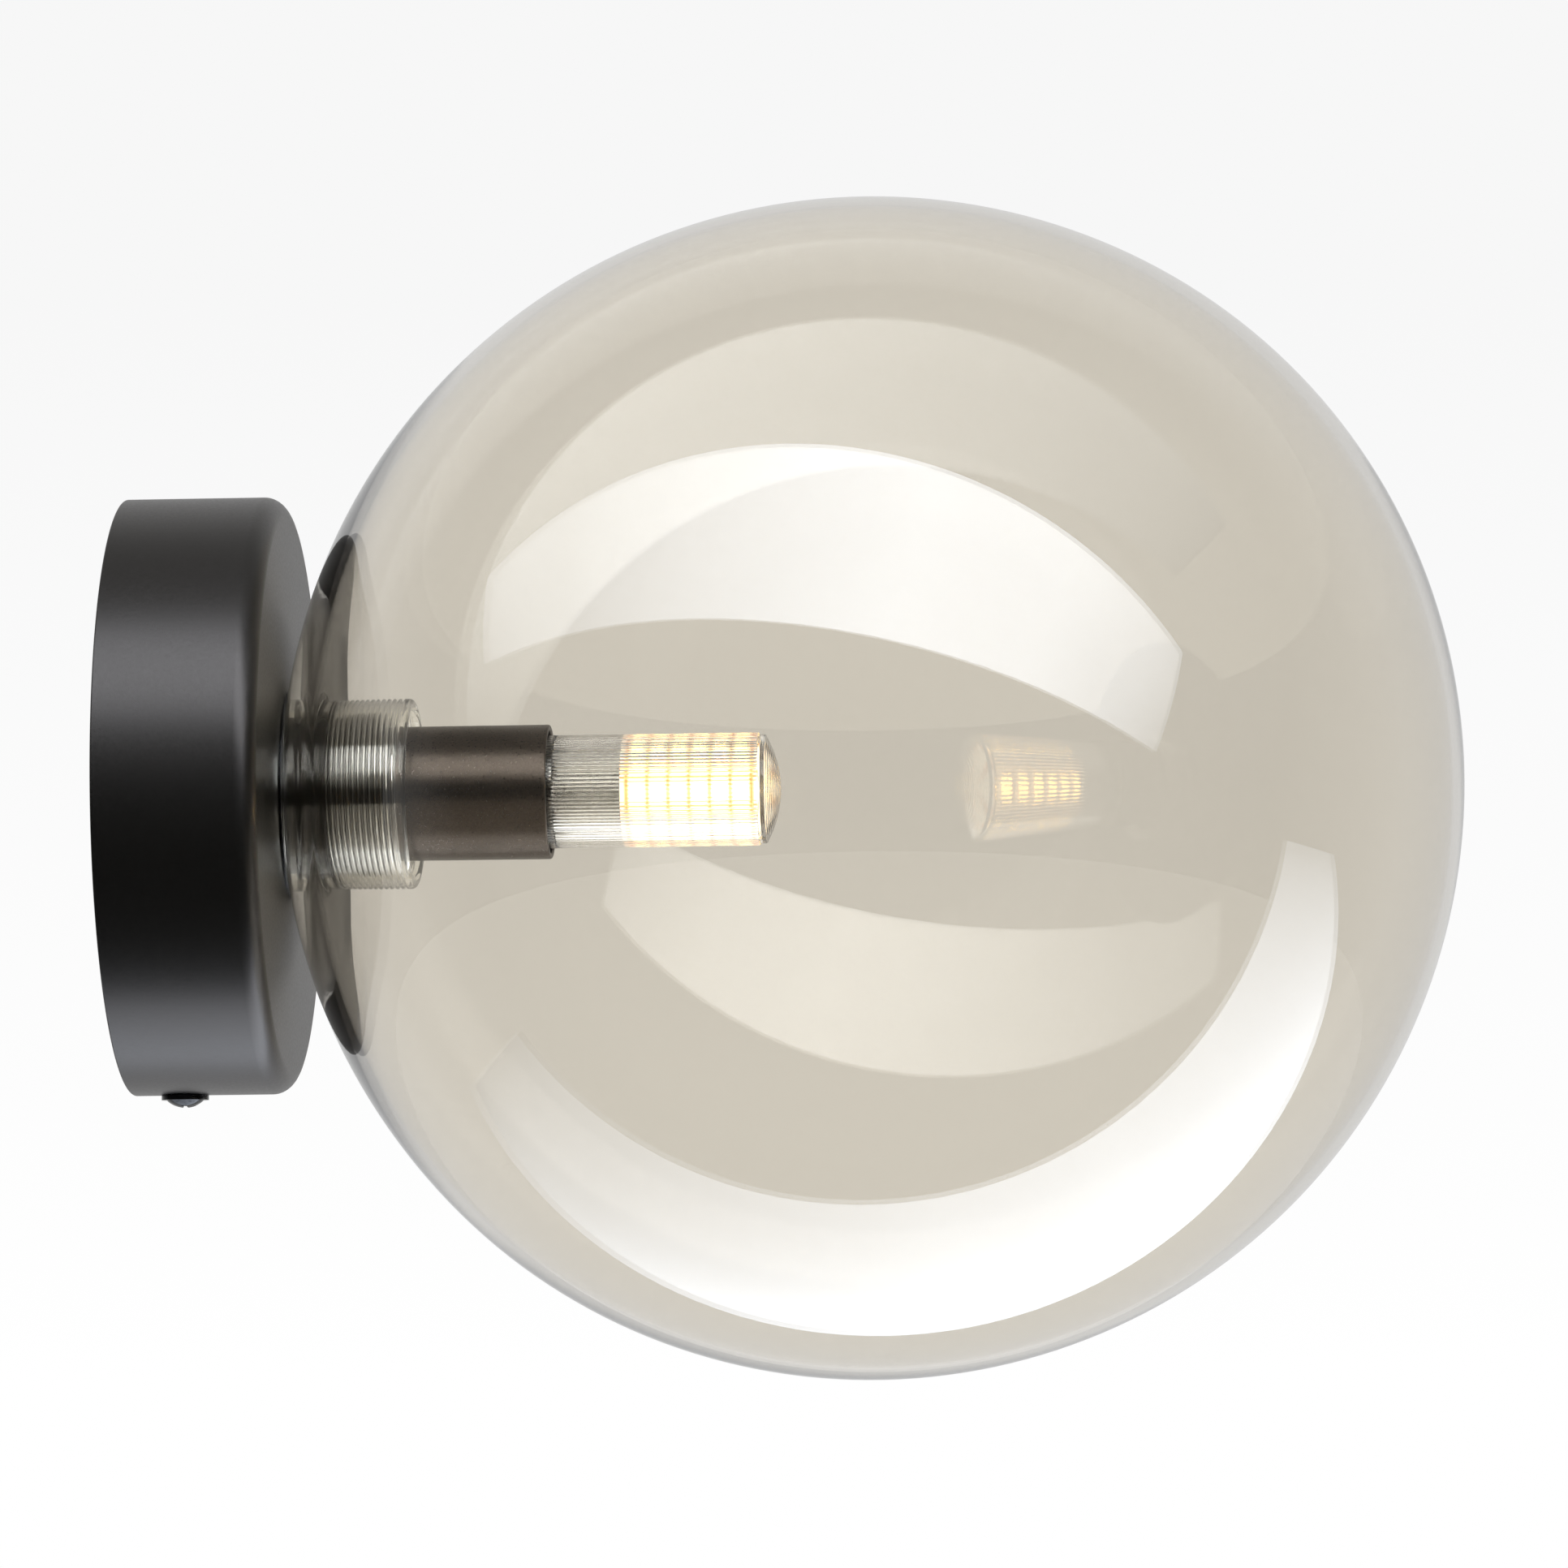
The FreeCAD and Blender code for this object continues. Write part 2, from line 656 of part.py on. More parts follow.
def make_terminal_block():
    """Nylon strip of three poles on webs, each pole a barrel with two screw turrets."""
    body = new_body("terminal_block")
    pole_places = [number * s.pole_pitch for number in (-1, 0, 1)]
    turret_places = [s.block_rise + side * s.turret_spacing / 2 for side in (-1, 1)]
    half_pole = s.pole_width / 2
    half_length = s.block_length / 2

    web = plane_sketch(body, "YZ_Plane", lift=s.strap_thickness)
    draw_outline(web, rectangle(-s.pole_pitch, s.block_rise - s.web_length / 2,
                                s.pole_pitch, s.block_rise + s.web_length / 2))
    pad(web, s.web_height)
    for place in pole_places:
        barrel = plane_sketch(body, "YZ_Plane", lift=s.strap_thickness)
        draw_outline(barrel, rectangle(place - half_pole, s.block_rise - half_length,
                                       place + half_pole, s.block_rise + half_length))
        pad(barrel, s.pole_height)
        for height in turret_places:
            turret = plane_sketch(body, "YZ_Plane", lift=block_axis)
            draw_circle(turret, place, height, s.turret_diameter / 2)
            pad(turret, s.strap_thickness + s.turret_height - block_axis)
    for place in pole_places:
        bore = plane_sketch(body, "XY_Plane", lift=block_low)
        draw_circle(bore, block_axis, place, s.insert_diameter / 2 + s.insert_play)
        pocket(bore, s.block_length, backwards=True)
    wells = plane_sketch(body, "YZ_Plane", lift=s.strap_thickness + s.turret_height)
    for place in pole_places:
        for height in turret_places:
            draw_circle(wells, place, height, s.clamp_screw_diameter / 2 + s.clamp_screw_play)
    pocket(wells, s.strap_thickness + s.turret_height - block_axis)
    fixings = plane_sketch(body, "YZ_Plane", lift=s.strap_thickness + s.web_height)
    for side in (-1, 1):
        draw_circle(fixings, side * s.pole_pitch / 2, s.block_rise,
                    s.block_screw_diameter / 2 + s.block_screw_play)
    pocket(fixings, s.web_height)

    inserts = []
    screws = []
    turret_top = s.strap_thickness + s.turret_height - s.clamp_screw_sink
    screw_tip = block_axis + s.lead_core_diameter / 2 + s.clamp_screw_play
    for number, place in enumerate(pole_places):
        tag = str(number)
        tube = cylinder("insert_tube_" + tag, s.insert_diameter / 2, block_axis, s.insert_length,
                        place, s.block_rise - s.insert_length / 2, along="z")
        bore = cylinder("insert_bore_" + tag, s.insert_bore / 2, block_axis, s.block_length,
                        place, s.block_rise - half_length, along="z")
        taps = []
        for height in turret_places:
            taps.append(cylinder("insert_tap_" + tag, s.clamp_screw_diameter / 2 + s.clamp_screw_play,
                                 block_axis, s.turret_height, place, height))
            screws.append(cylinder("clamp_screw_" + tag, s.clamp_screw_diameter / 2,
                                   screw_tip, turret_top - screw_tip, place, height))
        inserts.append(cut("insert_" + tag, tube, bore, *taps))
    group("terminal_inserts", inserts)
    group("clamp_screws", screws)

    fixing_screws = []
    head_back = s.strap_thickness + s.web_height
    for side in (-1, 1):
        place = side * s.pole_pitch / 2
        shank = cylinder("block_shank", s.block_screw_diameter / 2, 0, head_back, place, s.block_rise)
        head = cylinder("block_head", s.block_screw_head / 2, head_back,
                        s.block_screw_head_height, place, s.block_rise)
        whole = doc.addObject("Part::Fuse", "block_screw")
        whole.Base = shank
        whole.Tool = head
        fixing_screws.append(whole)
    group("block_screws", fixing_screws)


def make_canopy():
    """Spun steel cup with a rounded front edge, a nipple hole and one screw hole below."""
    edge = s.canopy_edge_radius
    inner_edge = edge - s.canopy_wall
    body = turned_body("canopy", [
        (0, canopy_inner_radius), (0, canopy_radius),
        (s.canopy_depth - edge, canopy_radius, -edge), (s.canopy_depth, canopy_radius - edge),
        (s.canopy_depth, nipple_hole_radius), (canopy_inside, nipple_hole_radius),
        (canopy_inside, canopy_inner_radius - inner_edge, inner_edge),
        (canopy_inside - inner_edge, canopy_inner_radius),
    ])
    hole = plane_sketch(body, "XY_Plane", lift=-canopy_radius)
    draw_circle(hole, s.lock_screw_place, 0, s.lock_screw_diameter / 2 + s.lock_screw_hole_play)
    pocket(hole, s.canopy_wall * 2, backwards=True)


def make_canopy_hook():
    """Small angle spot-welded inside the cup's top, that drops behind the strap's lip."""
    body = new_body("canopy_hook")
    sketch = plane_sketch(body, "XZ_Plane")
    front = hook_lip_back - s.hook_play
    back = front - s.hook_tab_thickness
    weld_low = canopy_inner_radius - s.hook_tab_thickness
    draw_outline(sketch, [
        (back, hook_bar_top + s.hook_tab_clearance), (front, hook_bar_top + s.hook_tab_clearance),
        (front, weld_low), (back + s.hook_tab_length, weld_low),
        (back + s.hook_tab_length, canopy_inner_radius), (back, canopy_inner_radius),
    ])
    revolve(sketch, angle=s.hook_tab_angle)


def make_lock_screw():
    """Domed washer-head screw with a cross recess, driven up through the cup into the ear."""
    body = new_body("canopy_lock_screw")
    profile = plane_sketch(body, "XZ_Plane", shift=s.lock_screw_place)
    shank_radius = s.lock_screw_diameter / 2
    flange_radius = s.lock_flange_diameter / 2
    dome_radius = s.lock_dome_diameter / 2
    flange_low = -(canopy_radius + s.lock_flange_thickness)
    dome_low = flange_low - s.lock_dome_height
    bend = (dome_radius * dome_radius + s.lock_dome_height * s.lock_dome_height) / (s.lock_dome_height * 2)
    draw_outline(profile, [
        (0, s.lock_screw_length - canopy_radius), (0, dome_low, bend), (dome_radius, flange_low),
        (flange_radius, flange_low), (flange_radius, -canopy_radius),
        (shank_radius, -canopy_radius), (shank_radius, s.lock_screw_length - canopy_radius),
    ])
    revolve(profile, axis="V_Axis")
    recess = plane_sketch(body, "XY_Plane", lift=dome_low, shift=s.lock_screw_place)
    long_half = s.lock_recess_width / 2
    short_half = s.lock_recess_bar / 2
    draw_outline(recess, [
        (-long_half, -short_half), (-short_half, -short_half), (-short_half, -long_half),
        (short_half, -long_half), (short_half, -short_half), (long_half, -short_half),
        (long_half, short_half), (short_half, short_half), (short_half, long_half),
        (-short_half, long_half), (-short_half, short_half), (-long_half, short_half),
    ])
    pocket(recess, s.lock_recess_depth, backwards=True)


def hex_nut(name, back):
    """Thin hexagon nut on the nipple."""
    prism = doc.addObject("Part::Prism", name + "_blank")
    prism.Polygon = HEXAGON
    corner_radius = s.nut_width / 2 / cosine(sized(180 / HEXAGON))
    prism.setExpression("Circumradius", corner_radius.formula)
    prism.setExpression("Height", s.nut_thickness.formula)
    prism.Placement = Placement(Vector(), Rotation(Vector(0, 1, 0), 90))
    prism.setExpression("Placement.Base.x", back.formula)
    hole = cylinder(name + "_hole", nipple_hole_radius, back - s.nut_thickness, s.nut_thickness * 3)
    keep(cut(name, prism, hole), name)


def make_nipple_stack():
    """Threaded tube that ties cup, carrier, sleeve and socket strap together, with its fasteners."""
    nipple = ring("threaded_nipple", nipple_back, nipple_front - nipple_back,
                  s.nipple_diameter / 2, s.nipple_bore / 2)
    keep(nipple, "threaded_nipple")
    hex_nut("canopy_nut", canopy_inside - s.washer_thickness - s.nut_thickness)
    hex_nut("sleeve_nut", cradle_floor)

    washer = new_body("tooth_washer")
    disc = plane_sketch(washer, "YZ_Plane", lift=canopy_inside - s.washer_thickness)
    draw_circle(disc, 0, 0, s.washer_diameter / 2)
    draw_circle(disc, 0, 0, nipple_hole_radius)
    pad(disc, s.washer_thickness)
    notch = plane_sketch(washer, "YZ_Plane", lift=canopy_inside - s.washer_thickness)
    half_gap = s.washer_tooth_gap / 2
    washer_radius = s.washer_diameter / 2
    draw_outline(notch, rectangle(washer_radius - s.washer_tooth_gap, -half_gap,
                                  washer_radius + s.washer_tooth_gap, half_gap))
    gap = pocket(notch, s.washer_thickness, backwards=True)
    teeth = washer.newObject("PartDesign::PolarPattern", "washer_teeth")
    teeth.Originals = [gap]
    teeth.Axis = (disc, ["N_Axis"])
    teeth.Angle = 360
    teeth.setExpression("Occurrences", s.washer_tooth_count.formula)
    washer.Tip = teeth


def make_carrier_and_sleeve():
    """Black turned ring that the glass screws on to, and the drawn tube that stands in it."""
    thread_start = s.canopy_depth + s.carrier_thread_start
    thread_end = thread_start + s.carrier_thread_length
    turned_body("glass_carrier", [
        (s.canopy_depth, nipple_hole_radius), (s.canopy_depth, carrier_radius),
        (thread_start, carrier_radius), (thread_start, carrier_thread_radius),
        (thread_end, carrier_thread_radius), (thread_end, carrier_bore_radius),
        (carrier_top, carrier_bore_radius), (carrier_top, nipple_hole_radius),
    ])
    turned_body("holder_sleeve", [
        (carrier_top, nipple_hole_radius), (carrier_top, sleeve_radius - s.sleeve_wall),
        (carrier_top + s.sleeve_wall, sleeve_radius), (sleeve_end, sleeve_radius),
        (sleeve_end, sleeve_inner_radius), (sleeve_floor, sleeve_inner_radius),
        (sleeve_floor, nipple_hole_radius),
    ])


def make_socket_bracket():
    """Steel strap folded up either side of the ceramic, with a snap window in each leg."""
    body = new_body("socket_bracket")
    disc = plane_sketch(body, "YZ_Plane", lift=sleeve_floor)
    draw_circle(disc, 0, 0, s.cradle_disc / 2)
    pad(disc, s.cradle_thickness)
    high = s.cradle_half_height
    inner = high - s.cradle_thickness
    leg_end = sleeve_floor + s.cradle_reach
    strap = plane_sketch(body, "XZ_Plane")
    draw_outline(strap, [
        (sleeve_floor, -high), (leg_end, -high), (leg_end, -inner), (cradle_floor, -inner),
        (cradle_floor, inner), (leg_end, inner), (leg_end, high), (sleeve_floor, high),
    ])
    pad(strap, s.cradle_width, symmetric=True)
    hole = plane_sketch(body, "YZ_Plane", lift=sleeve_floor)
    draw_circle(hole, 0, 0, nipple_hole_radius)
    pocket(hole, s.cradle_thickness, backwards=True)
    window = plane_sketch(body, "XY_Plane")
    window_back = sleeve_floor + s.cradle_window_place
    draw_outline(window, rectangle(window_back, -s.cradle_window_width / 2,
                                   window_back + s.cradle_window_length, s.cradle_window_width / 2))
    pocket(window, high * 2, symmetric=True)


def make_socket():
    """Ceramic socket: round body with flats, lamp recess, pin channels, and a contact in each."""
    body = new_body("socket_body")
    radius = s.socket_diameter / 2
    profile = plane_sketch(body, "XZ_Plane")
    draw_outline(profile, [
        (socket_back, 0), (socket_back, radius - s.socket_chamfer),
        (socket_back + s.socket_chamfer, radius), (socket_front - s.socket_chamfer, radius),
        (socket_front, radius - s.socket_chamfer), (socket_front, 0),
    ])
    revolve(profile)
    flat_end = socket_back + s.socket_flat_length
    for side in (-1, 1):
        flats = plane_sketch(body, "XZ_Plane")
        near = side * socket_flat
        far = side * radius * 2
        corners = [(socket_back - s.socket_chamfer, near), (flat_end, near),
                   (flat_end, far), (socket_back - s.socket_chamfer, far)]
        draw_outline(flats, corners)
        pocket(flats, s.socket_diameter, symmetric=True)
    nub = plane_sketch(body, "XY_Plane")
    nub_back = sleeve_floor + s.cradle_window_place + s.nub_play
    nub_half_width = s.cradle_window_width / 2 - s.nub_play
    draw_outline(nub, rectangle(nub_back, -nub_half_width,
                                nub_back + s.cradle_window_length - s.nub_play * 2, nub_half_width))
    pad(nub, (s.cradle_half_height - s.nub_play) * 2, symmetric=True)

    recess = plane_sketch(body, "YZ_Plane", lift=socket_front)
    half_width = s.foot_width / 2 + s.socket_play
    half_height = s.foot_height / 2 + s.socket_play
    draw_outline(recess, rounded(-half_width, -half_height, half_width, half_height, s.foot_corner))
    pocket(recess, s.socket_recess_depth)
    channels = plane_sketch(body, "YZ_Plane", lift=recess_floor)
    for side in (-1, 1):
        place = side * pin_place
        draw_outline(channels, rectangle(place - s.channel_width / 2, -s.channel_height / 2,
                                         place + s.channel_width / 2, s.channel_height / 2))
    pocket(channels, s.channel_depth)
    lead_holes = plane_sketch(body, "YZ_Plane", lift=socket_back)
    for side in (-1, 1):
        draw_circle(lead_holes, side * s.lead_offset, 0, s.lead_diameter / 2 + s.lead_hole_play)
    pocket(lead_holes, channel_floor - socket_back, backwards=True)

    inner = s.pin_wire / 2 + s.contact_gap
    outer = inner + s.contact_thickness
    floor_top = channel_floor + s.contact_thickness
    leaf_end = channel_floor + s.contact_length
    for name, side in (("live_contact", -1), ("neutral_contact", 1)):
        contact = new_body(name)
        strip = plane_sketch(contact, "XZ_Plane", lift=-side * pin_place)
        draw_outline(strip, [
            (channel_floor, -outer), (leaf_end, -outer), (leaf_end, -inner), (floor_top, -inner),
            (floor_top, inner), (leaf_end, inner), (leaf_end, outer), (channel_floor, outer),
        ])
        pad(strip, s.contact_width, symmetric=True)


# ---------------------------------------------------------------- leads
def arc_path(points):
    """Straight runs joined by tangent arcs as large as the runs beside them allow."""
    edges = []
    radii = []
    start = points[0]
    for before, corner, after in zip(points, points[1:], points[2:]):
        inward = (corner - before).normalize()
        outward = (after - corner).normalize()
        half_turn = inward.getAngle(outward) / 2
        shorter_run = min(before.distanceToPoint(corner), corner.distanceToPoint(after))
        trim = s.lead_arc_share.value * shorter_run
        radii.append(trim / math.tan(half_turn))
        first = corner - inward * trim
        last = corner + outward * trim
        bisector = (outward - inward).normalize()
        lift = radii[-1] / math.cos(half_turn) - radii[-1]
        edges.append(Part.LineSegment(start, first).toShape())
        edges.append(Part.Arc(first, corner + bisector * lift, last).toShape())
        start = last
    edges.append(Part.LineSegment(start, points[-1]).toShape())
    return Part.Wire(edges), radii


def tube_along(points, diameter):
    """A round lead along a route."""
    path, radii = arc_path(points)
    circle = Part.makeCircle(diameter / 2, points[0], points[1] - points[0])
    tube = path.makePipeShell([Part.Wire(circle)], True, False)
    expected = math.pi * diameter * diameter / 4 * path.Length
    print("lead radii", [round(radius, 1) for radius in radii], "length", round(path.Length, 1),
          "volume share", round(tube.Volume / expected, 3))
    return tube


def stripped_end(point, direction, length):
    """The bare core that stands out of a lead's end."""
    return Part.makeCylinder(s.lead_core_diameter.value / 2, length.value, point, direction)


def make_leads():
    """Live and neutral from the contacts through the nipple to the block, and earth from its lug."""
    diameter = s.lead_diameter.value
    offset = s.lead_offset.value
    sheath_end = block_low.value + s.lead_terminal_entry.value
    turn_out = nipple_back.value - 2 * diameter
    axis = block_axis.value
    pitch = s.pole_pitch.value
    contact_end = (channel_floor - s.lead_strip).value
    for name, side, pole in (("live_lead", -1, -pitch), ("neutral_lead", 1, 0.0)):
        route = [
            Vector(contact_end, side * offset, 0),
            Vector(turn_out, side * offset, 0),
            Vector(axis, pole, diameter),
            Vector(axis, pole, sheath_end),
        ]
        lead = tube_along(route, diameter)
        lead = lead.fuse(stripped_end(route[0], Vector(1, 0, 0), s.lead_strip))
        lead = lead.fuse(stripped_end(route[-1], Vector(0, 0, 1), s.lead_terminal_strip))
        shaped(name, lead.removeSplitter())

    barrel_axis = (s.strap_thickness + s.lug_barrel_diameter / 2).value
    drop = -s.earth_drop.value
    barrel_end = s.lug_barrel_end.value
    side_run = strap_half_width.value + diameter
    lift = s.earth_lead_lift.value
    route = [
        Vector(barrel_axis, barrel_end, drop),
        Vector(barrel_axis + lift, side_run + s.earth_lead_bow.value, drop),
        Vector(axis - 2 * lift, side_run, drop / 2),
        Vector(axis, pitch, -diameter),
        Vector(axis, pitch, sheath_end),
    ]
    lead = tube_along(route, diameter)
    crimped = s.lug_barrel_end - s.lug_barrel_start
    lead = lead.fuse(stripped_end(route[0], route[0] - route[1], crimped))
    lead = lead.fuse(stripped_end(route[-1], Vector(0, 0, 1), s.lead_terminal_strip))
    shaped("earth_lead", lead.removeSplitter())


# ---------------------------------------------------------------- glass
def make_glass():
    """Gasket ring, smoked shell, and the clear neck that turns back into the shell."""
    gasket = ring("glass_gasket", s.canopy_depth, s.gasket_thickness,
                  seam_radius - s.gasket_inset, neck_bore_radius + s.gasket_inset)
    keep(gasket, "glass_gasket")

    outer_tip = globe_middle + globe_radius
    inner_tip = globe_middle + globe_inner_radius
    turned_body("globe_shell", [
        (glass_foot, seam_radius, -globe_radius), (globe_middle, globe_radius, -globe_radius),
        (outer_tip, 0), (inner_tip, 0, globe_inner_radius),
        (globe_middle, globe_inner_radius, globe_inner_radius), (seam_inside, seam_radius),
    ])

    lip = s.neck_wall / 2
    lip_start = neck_end - lip
    turned_body("globe_neck", [
        (glass_foot, neck_bore_radius), (glass_foot, seam_radius),
        (seam_inside, seam_radius, s.neck_flare), (seam_inside + s.neck_flare, neck_radius),
        (lip_start, neck_radius, -lip), (neck_end, neck_radius - lip, -lip),
        (lip_start, neck_bore_radius),
    ])


# ---------------------------------------------------------------- lamp
def make_lamp_base():
    """Moulded lamp base: blade foot, round shoulder and a spigot for the cover."""
    body = new_body("lamp_base")
    shoulder_radius = lamp_radius - s.lamp_base_step
    spigot_radius = cover_inner_radius - s.lamp_spigot_play
    profile = plane_sketch(body, "XZ_Plane")
    draw_outline(profile, [
        (socket_front, 0), (socket_front, shoulder_radius), (cover_back, shoulder_radius),
        (cover_back, spigot_radius), (spigot_end, spigot_radius), (spigot_end, 0),
    ])
    revolve(profile)
    foot = plane_sketch(body, "YZ_Plane", lift=socket_front - s.foot_length)
    half_width = s.foot_width / 2
    half_height = s.foot_height / 2
    draw_outline(foot, rounded(-half_width, -half_height, half_width, half_height, s.foot_corner))
    pad(foot, s.foot_length)


def make_lamp_pins():
    """Two wire loops under the foot."""
    wire = s.pin_wire.value
    half_loop = s.pin_loop_width.value / 2
    foot_back = (socket_front - s.foot_length).value
    loop_back = foot_back - s.pin_length.value + half_loop + wire / 2
    loops = []
    for side in (-1, 1):
        middle = side * pin_place.value
        leg = Vector(foot_back, middle - half_loop, 0)
        edges = [
            Part.LineSegment(leg, Vector(loop_back, middle - half_loop, 0)).toShape(),
            Part.Arc(Vector(loop_back, middle - half_loop, 0), Vector(loop_back - half_loop, middle, 0),
                     Vector(loop_back, middle + half_loop, 0)).toShape(),
            Part.LineSegment(Vector(loop_back, middle + half_loop, 0),
                             Vector(foot_back, middle + half_loop, 0)).toShape(),
        ]
        circle = Part.Wire(Part.makeCircle(wire / 2, leg, Vector(-1, 0, 0)))
        loops.append(Part.Wire(edges).makePipeShell([circle], True, False))
    shaped("lamp_pins", Part.makeCompound(loops))


def hexagon_board(name, back):
    """Six-sided end board of the lamp's core, its corners in line with the faces' joints."""
    plate = doc.addObject("Part::Prism", name)
    plate.setExpression("Polygon", s.led_face_count.formula)
    half_side_angle = 180 / s.led_face_count
    corner_radius = s.board_face_distance / cosine(half_side_angle)
    plate.setExpression("Circumradius", corner_radius.formula)
    plate.setExpression("Height", s.end_board_thickness.formula)
    stand = Rotation(Vector(0, 1, 0), 90)
    first_corner = s.led_face_turn + half_side_angle - 90
    plate.Placement = Placement(Vector(), Rotation(Vector(1, 0, 0), first_corner.value) * stand)
    plate.setExpression("Placement.Base.x", back.formula)
    keep(plate, name)


def make_lamp_core():
    """Driver pot, two end boards, and six strips of light chips between them."""
    keep(cylinder("driver_pot", s.driver_diameter / 2, spigot_end, s.driver_length), "driver_pot")
    hexagon_board("led_base_board", driver_end)
    hexagon_board("led_end_board", boards_front)

    faces = int(s.led_face_count.value)
    face_distance = s.board_face_distance.value
    thickness = s.board_thickness.value
    inner_distance = face_distance - thickness
    width = 2 * (inner_distance * math.tan(math.pi / faces) - s.board_edge_play.value)
    strips = []
    chips = []
    for face in range(faces):
        turn = Rotation(Vector(1, 0, 0), s.led_face_turn.value + face * 360.0 / faces)
        strip = Part.makeBox(boards_length.value, thickness, width,
                             Vector(boards_back.value, -face_distance, -width / 2))
        strip.Placement = Placement(Vector(), turn)
        strips.append(strip)
        for number in range(int(s.led_count.value)):
            middle = boards_back.value + s.led_margin.value + number * s.led_pitch.value
            chip = Part.makeBox(s.led_length.value, s.led_height.value, s.led_width.value,
                                Vector(middle - s.led_length.value / 2,
                                       -face_distance - s.led_height.value, -s.led_width.value / 2))
            chip.Placement = Placement(Vector(), turn)
            chips.append(chip)
    shaped("led_boards", Part.makeCompound(strips))
    shaped("led_chips", Part.makeCompound(chips))


def ribbed_ring(name, back, length, crest_radius, inner_radius):
    """A ring along the lamp with fine lengthwise ribs all round its outside."""
    ribs = int(s.rib_count.value)
    points = []
    for number in range(2 * ribs + 1):
        angle = math.pi * number / ribs
        radius = crest_radius.value - s.rib_depth.value * (number % 2)
        points.append(Vector(back.value, radius * math.cos(angle), radius * math.sin(angle)))
    hole = Part.makeCircle(inner_radius.value, Vector(back.value, 0, 0), Vector(1, 0, 0))
    face = Part.makeFace([Part.makePolygon(points), Part.Wire(hole)], "Part::FaceMakerBullseye")
    feature = doc.addObject("Part::Feature", name)
    feature.Shape = face.extrude(Vector(length.value, 0, 0))
    return feature


def make_lamp_cover():
    """Clear cover: plain ring at the back, ribbed barrel, and a slightly domed end."""
    rise = s.cover_end_rise
    end_radius = lamp_radius - s.cover_end_step
    dome_radius = (end_radius * end_radius + rise * rise) / (rise * 2)
    hollow_dome_radius = dome_radius - s.cover_wall
    hollow_end = cover_tip - dome_radius + root(
        hollow_dome_radius * hollow_dome_radius - cover_inner_radius * cover_inner_radius)
    ribs_start = cover_back + s.cover_ring_length
    ribs_end = cover_tip - rise - s.cover_end_band
    core = doc.addObject("PartDesign::Body", "cover_core")
    turned(core, [
        (cover_back, cover_inner_radius), (cover_back, lamp_radius), (ribs_start, lamp_radius),
        (ribs_start, end_radius), (cover_tip - rise, end_radius, -dome_radius), (cover_tip, 0),
        (cover_tip - s.cover_wall, 0, hollow_dome_radius), (hollow_end, cover_inner_radius),
    ])
    ribs = ribbed_ring("cover_ribs", ribs_start - s.rib_root, ribs_end - ribs_start + s.rib_root,
                       lamp_radius - s.rib_drop, (cover_inner_radius + end_radius) / 2)
    cover = doc.addObject("Part::Fuse", "lamp_cover")
    cover.Base = core
    cover.Tool = ribs
    keep(cover, "lamp_cover")


# ---------------------------------------------------------------- build, check and write
def check_document():
    """Stops on any object that failed and any sub-part without a valid solid."""
    for item in doc.Objects:
        if "Invalid" in item.State or "Error" in item.State:
            raise RuntimeError(item.Label + " failed: " + str(item.State))
    for part in SUBPARTS:
        shape = part.Shape
        if shape.isNull() or not shape.isValid() or not shape.Solids:
            raise RuntimeError(part.Label + " has no valid solid")
        box = shape.BoundBox
        print("%-18s %2d solids %9.1f mm3  x %6.1f to %6.1f" % (
            part.Label, len(shape.Solids), shape.Volume, box.XMin, box.XMax))


def write_parts():
    """One file for each sub-part, named after it."""
    os.makedirs("parts", exist_ok=True)
    for part in SUBPARTS:
        part.Shape.exportStep(os.path.join("parts", part.Label + ".step"))


make_wall_bracket()
make_cable_grommet()
make_earth_parts()
make_terminal_block()
make_canopy()
make_canopy_hook()
make_lock_screw()
make_nipple_stack()
make_carrier_and_sleeve()
make_socket_bracket()
make_socket()
make_leads()
make_glass()
make_lamp_base()
make_lamp_pins()
make_lamp_core()
make_lamp_cover()
doc.recompute()
check_document()
write_parts()
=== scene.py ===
"""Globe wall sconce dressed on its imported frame: blown glass, black metal and a lit plug-in lamp.

The frame is in metres. The origin is on the wall, +X points away from it along the lamp, +Z is up.
"""
import math

import bmesh
import bpy
from mathutils import Matrix, Vector


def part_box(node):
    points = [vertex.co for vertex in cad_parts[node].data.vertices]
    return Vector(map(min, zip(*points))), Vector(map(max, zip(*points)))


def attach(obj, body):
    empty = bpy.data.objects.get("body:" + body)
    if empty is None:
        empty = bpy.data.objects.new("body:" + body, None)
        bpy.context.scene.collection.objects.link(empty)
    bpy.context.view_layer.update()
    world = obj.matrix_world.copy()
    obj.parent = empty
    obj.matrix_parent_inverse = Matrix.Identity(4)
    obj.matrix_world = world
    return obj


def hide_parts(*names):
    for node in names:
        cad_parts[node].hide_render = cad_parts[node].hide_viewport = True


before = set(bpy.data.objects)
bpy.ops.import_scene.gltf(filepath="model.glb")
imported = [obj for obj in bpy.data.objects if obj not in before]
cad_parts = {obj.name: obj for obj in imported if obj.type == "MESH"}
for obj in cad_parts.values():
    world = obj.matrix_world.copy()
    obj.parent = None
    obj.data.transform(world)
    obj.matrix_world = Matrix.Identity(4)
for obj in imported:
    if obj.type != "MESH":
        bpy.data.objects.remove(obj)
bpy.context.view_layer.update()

MM = 0.001
FULL_TURN = 2 * math.pi
ON_AXIS = 0.001 * MM
TOUCH = 0.01 * MM


def round_size(name):
    """Where a turned node starts and ends along the lamp's axis, and its radius."""
    low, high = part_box(name)
    return low.x, high.x, high.z


# ---------------------------------------------------------------- sizes
CANOPY_WALL = 1.2 * MM
CANOPY_EDGE = 3.5 * MM
CANOPY_RIM = 0.3 * MM
CANOPY_EDGE_STEPS = 10
CANOPY_SIDES = 256
NIPPLE_HOLE = 5.1 * MM

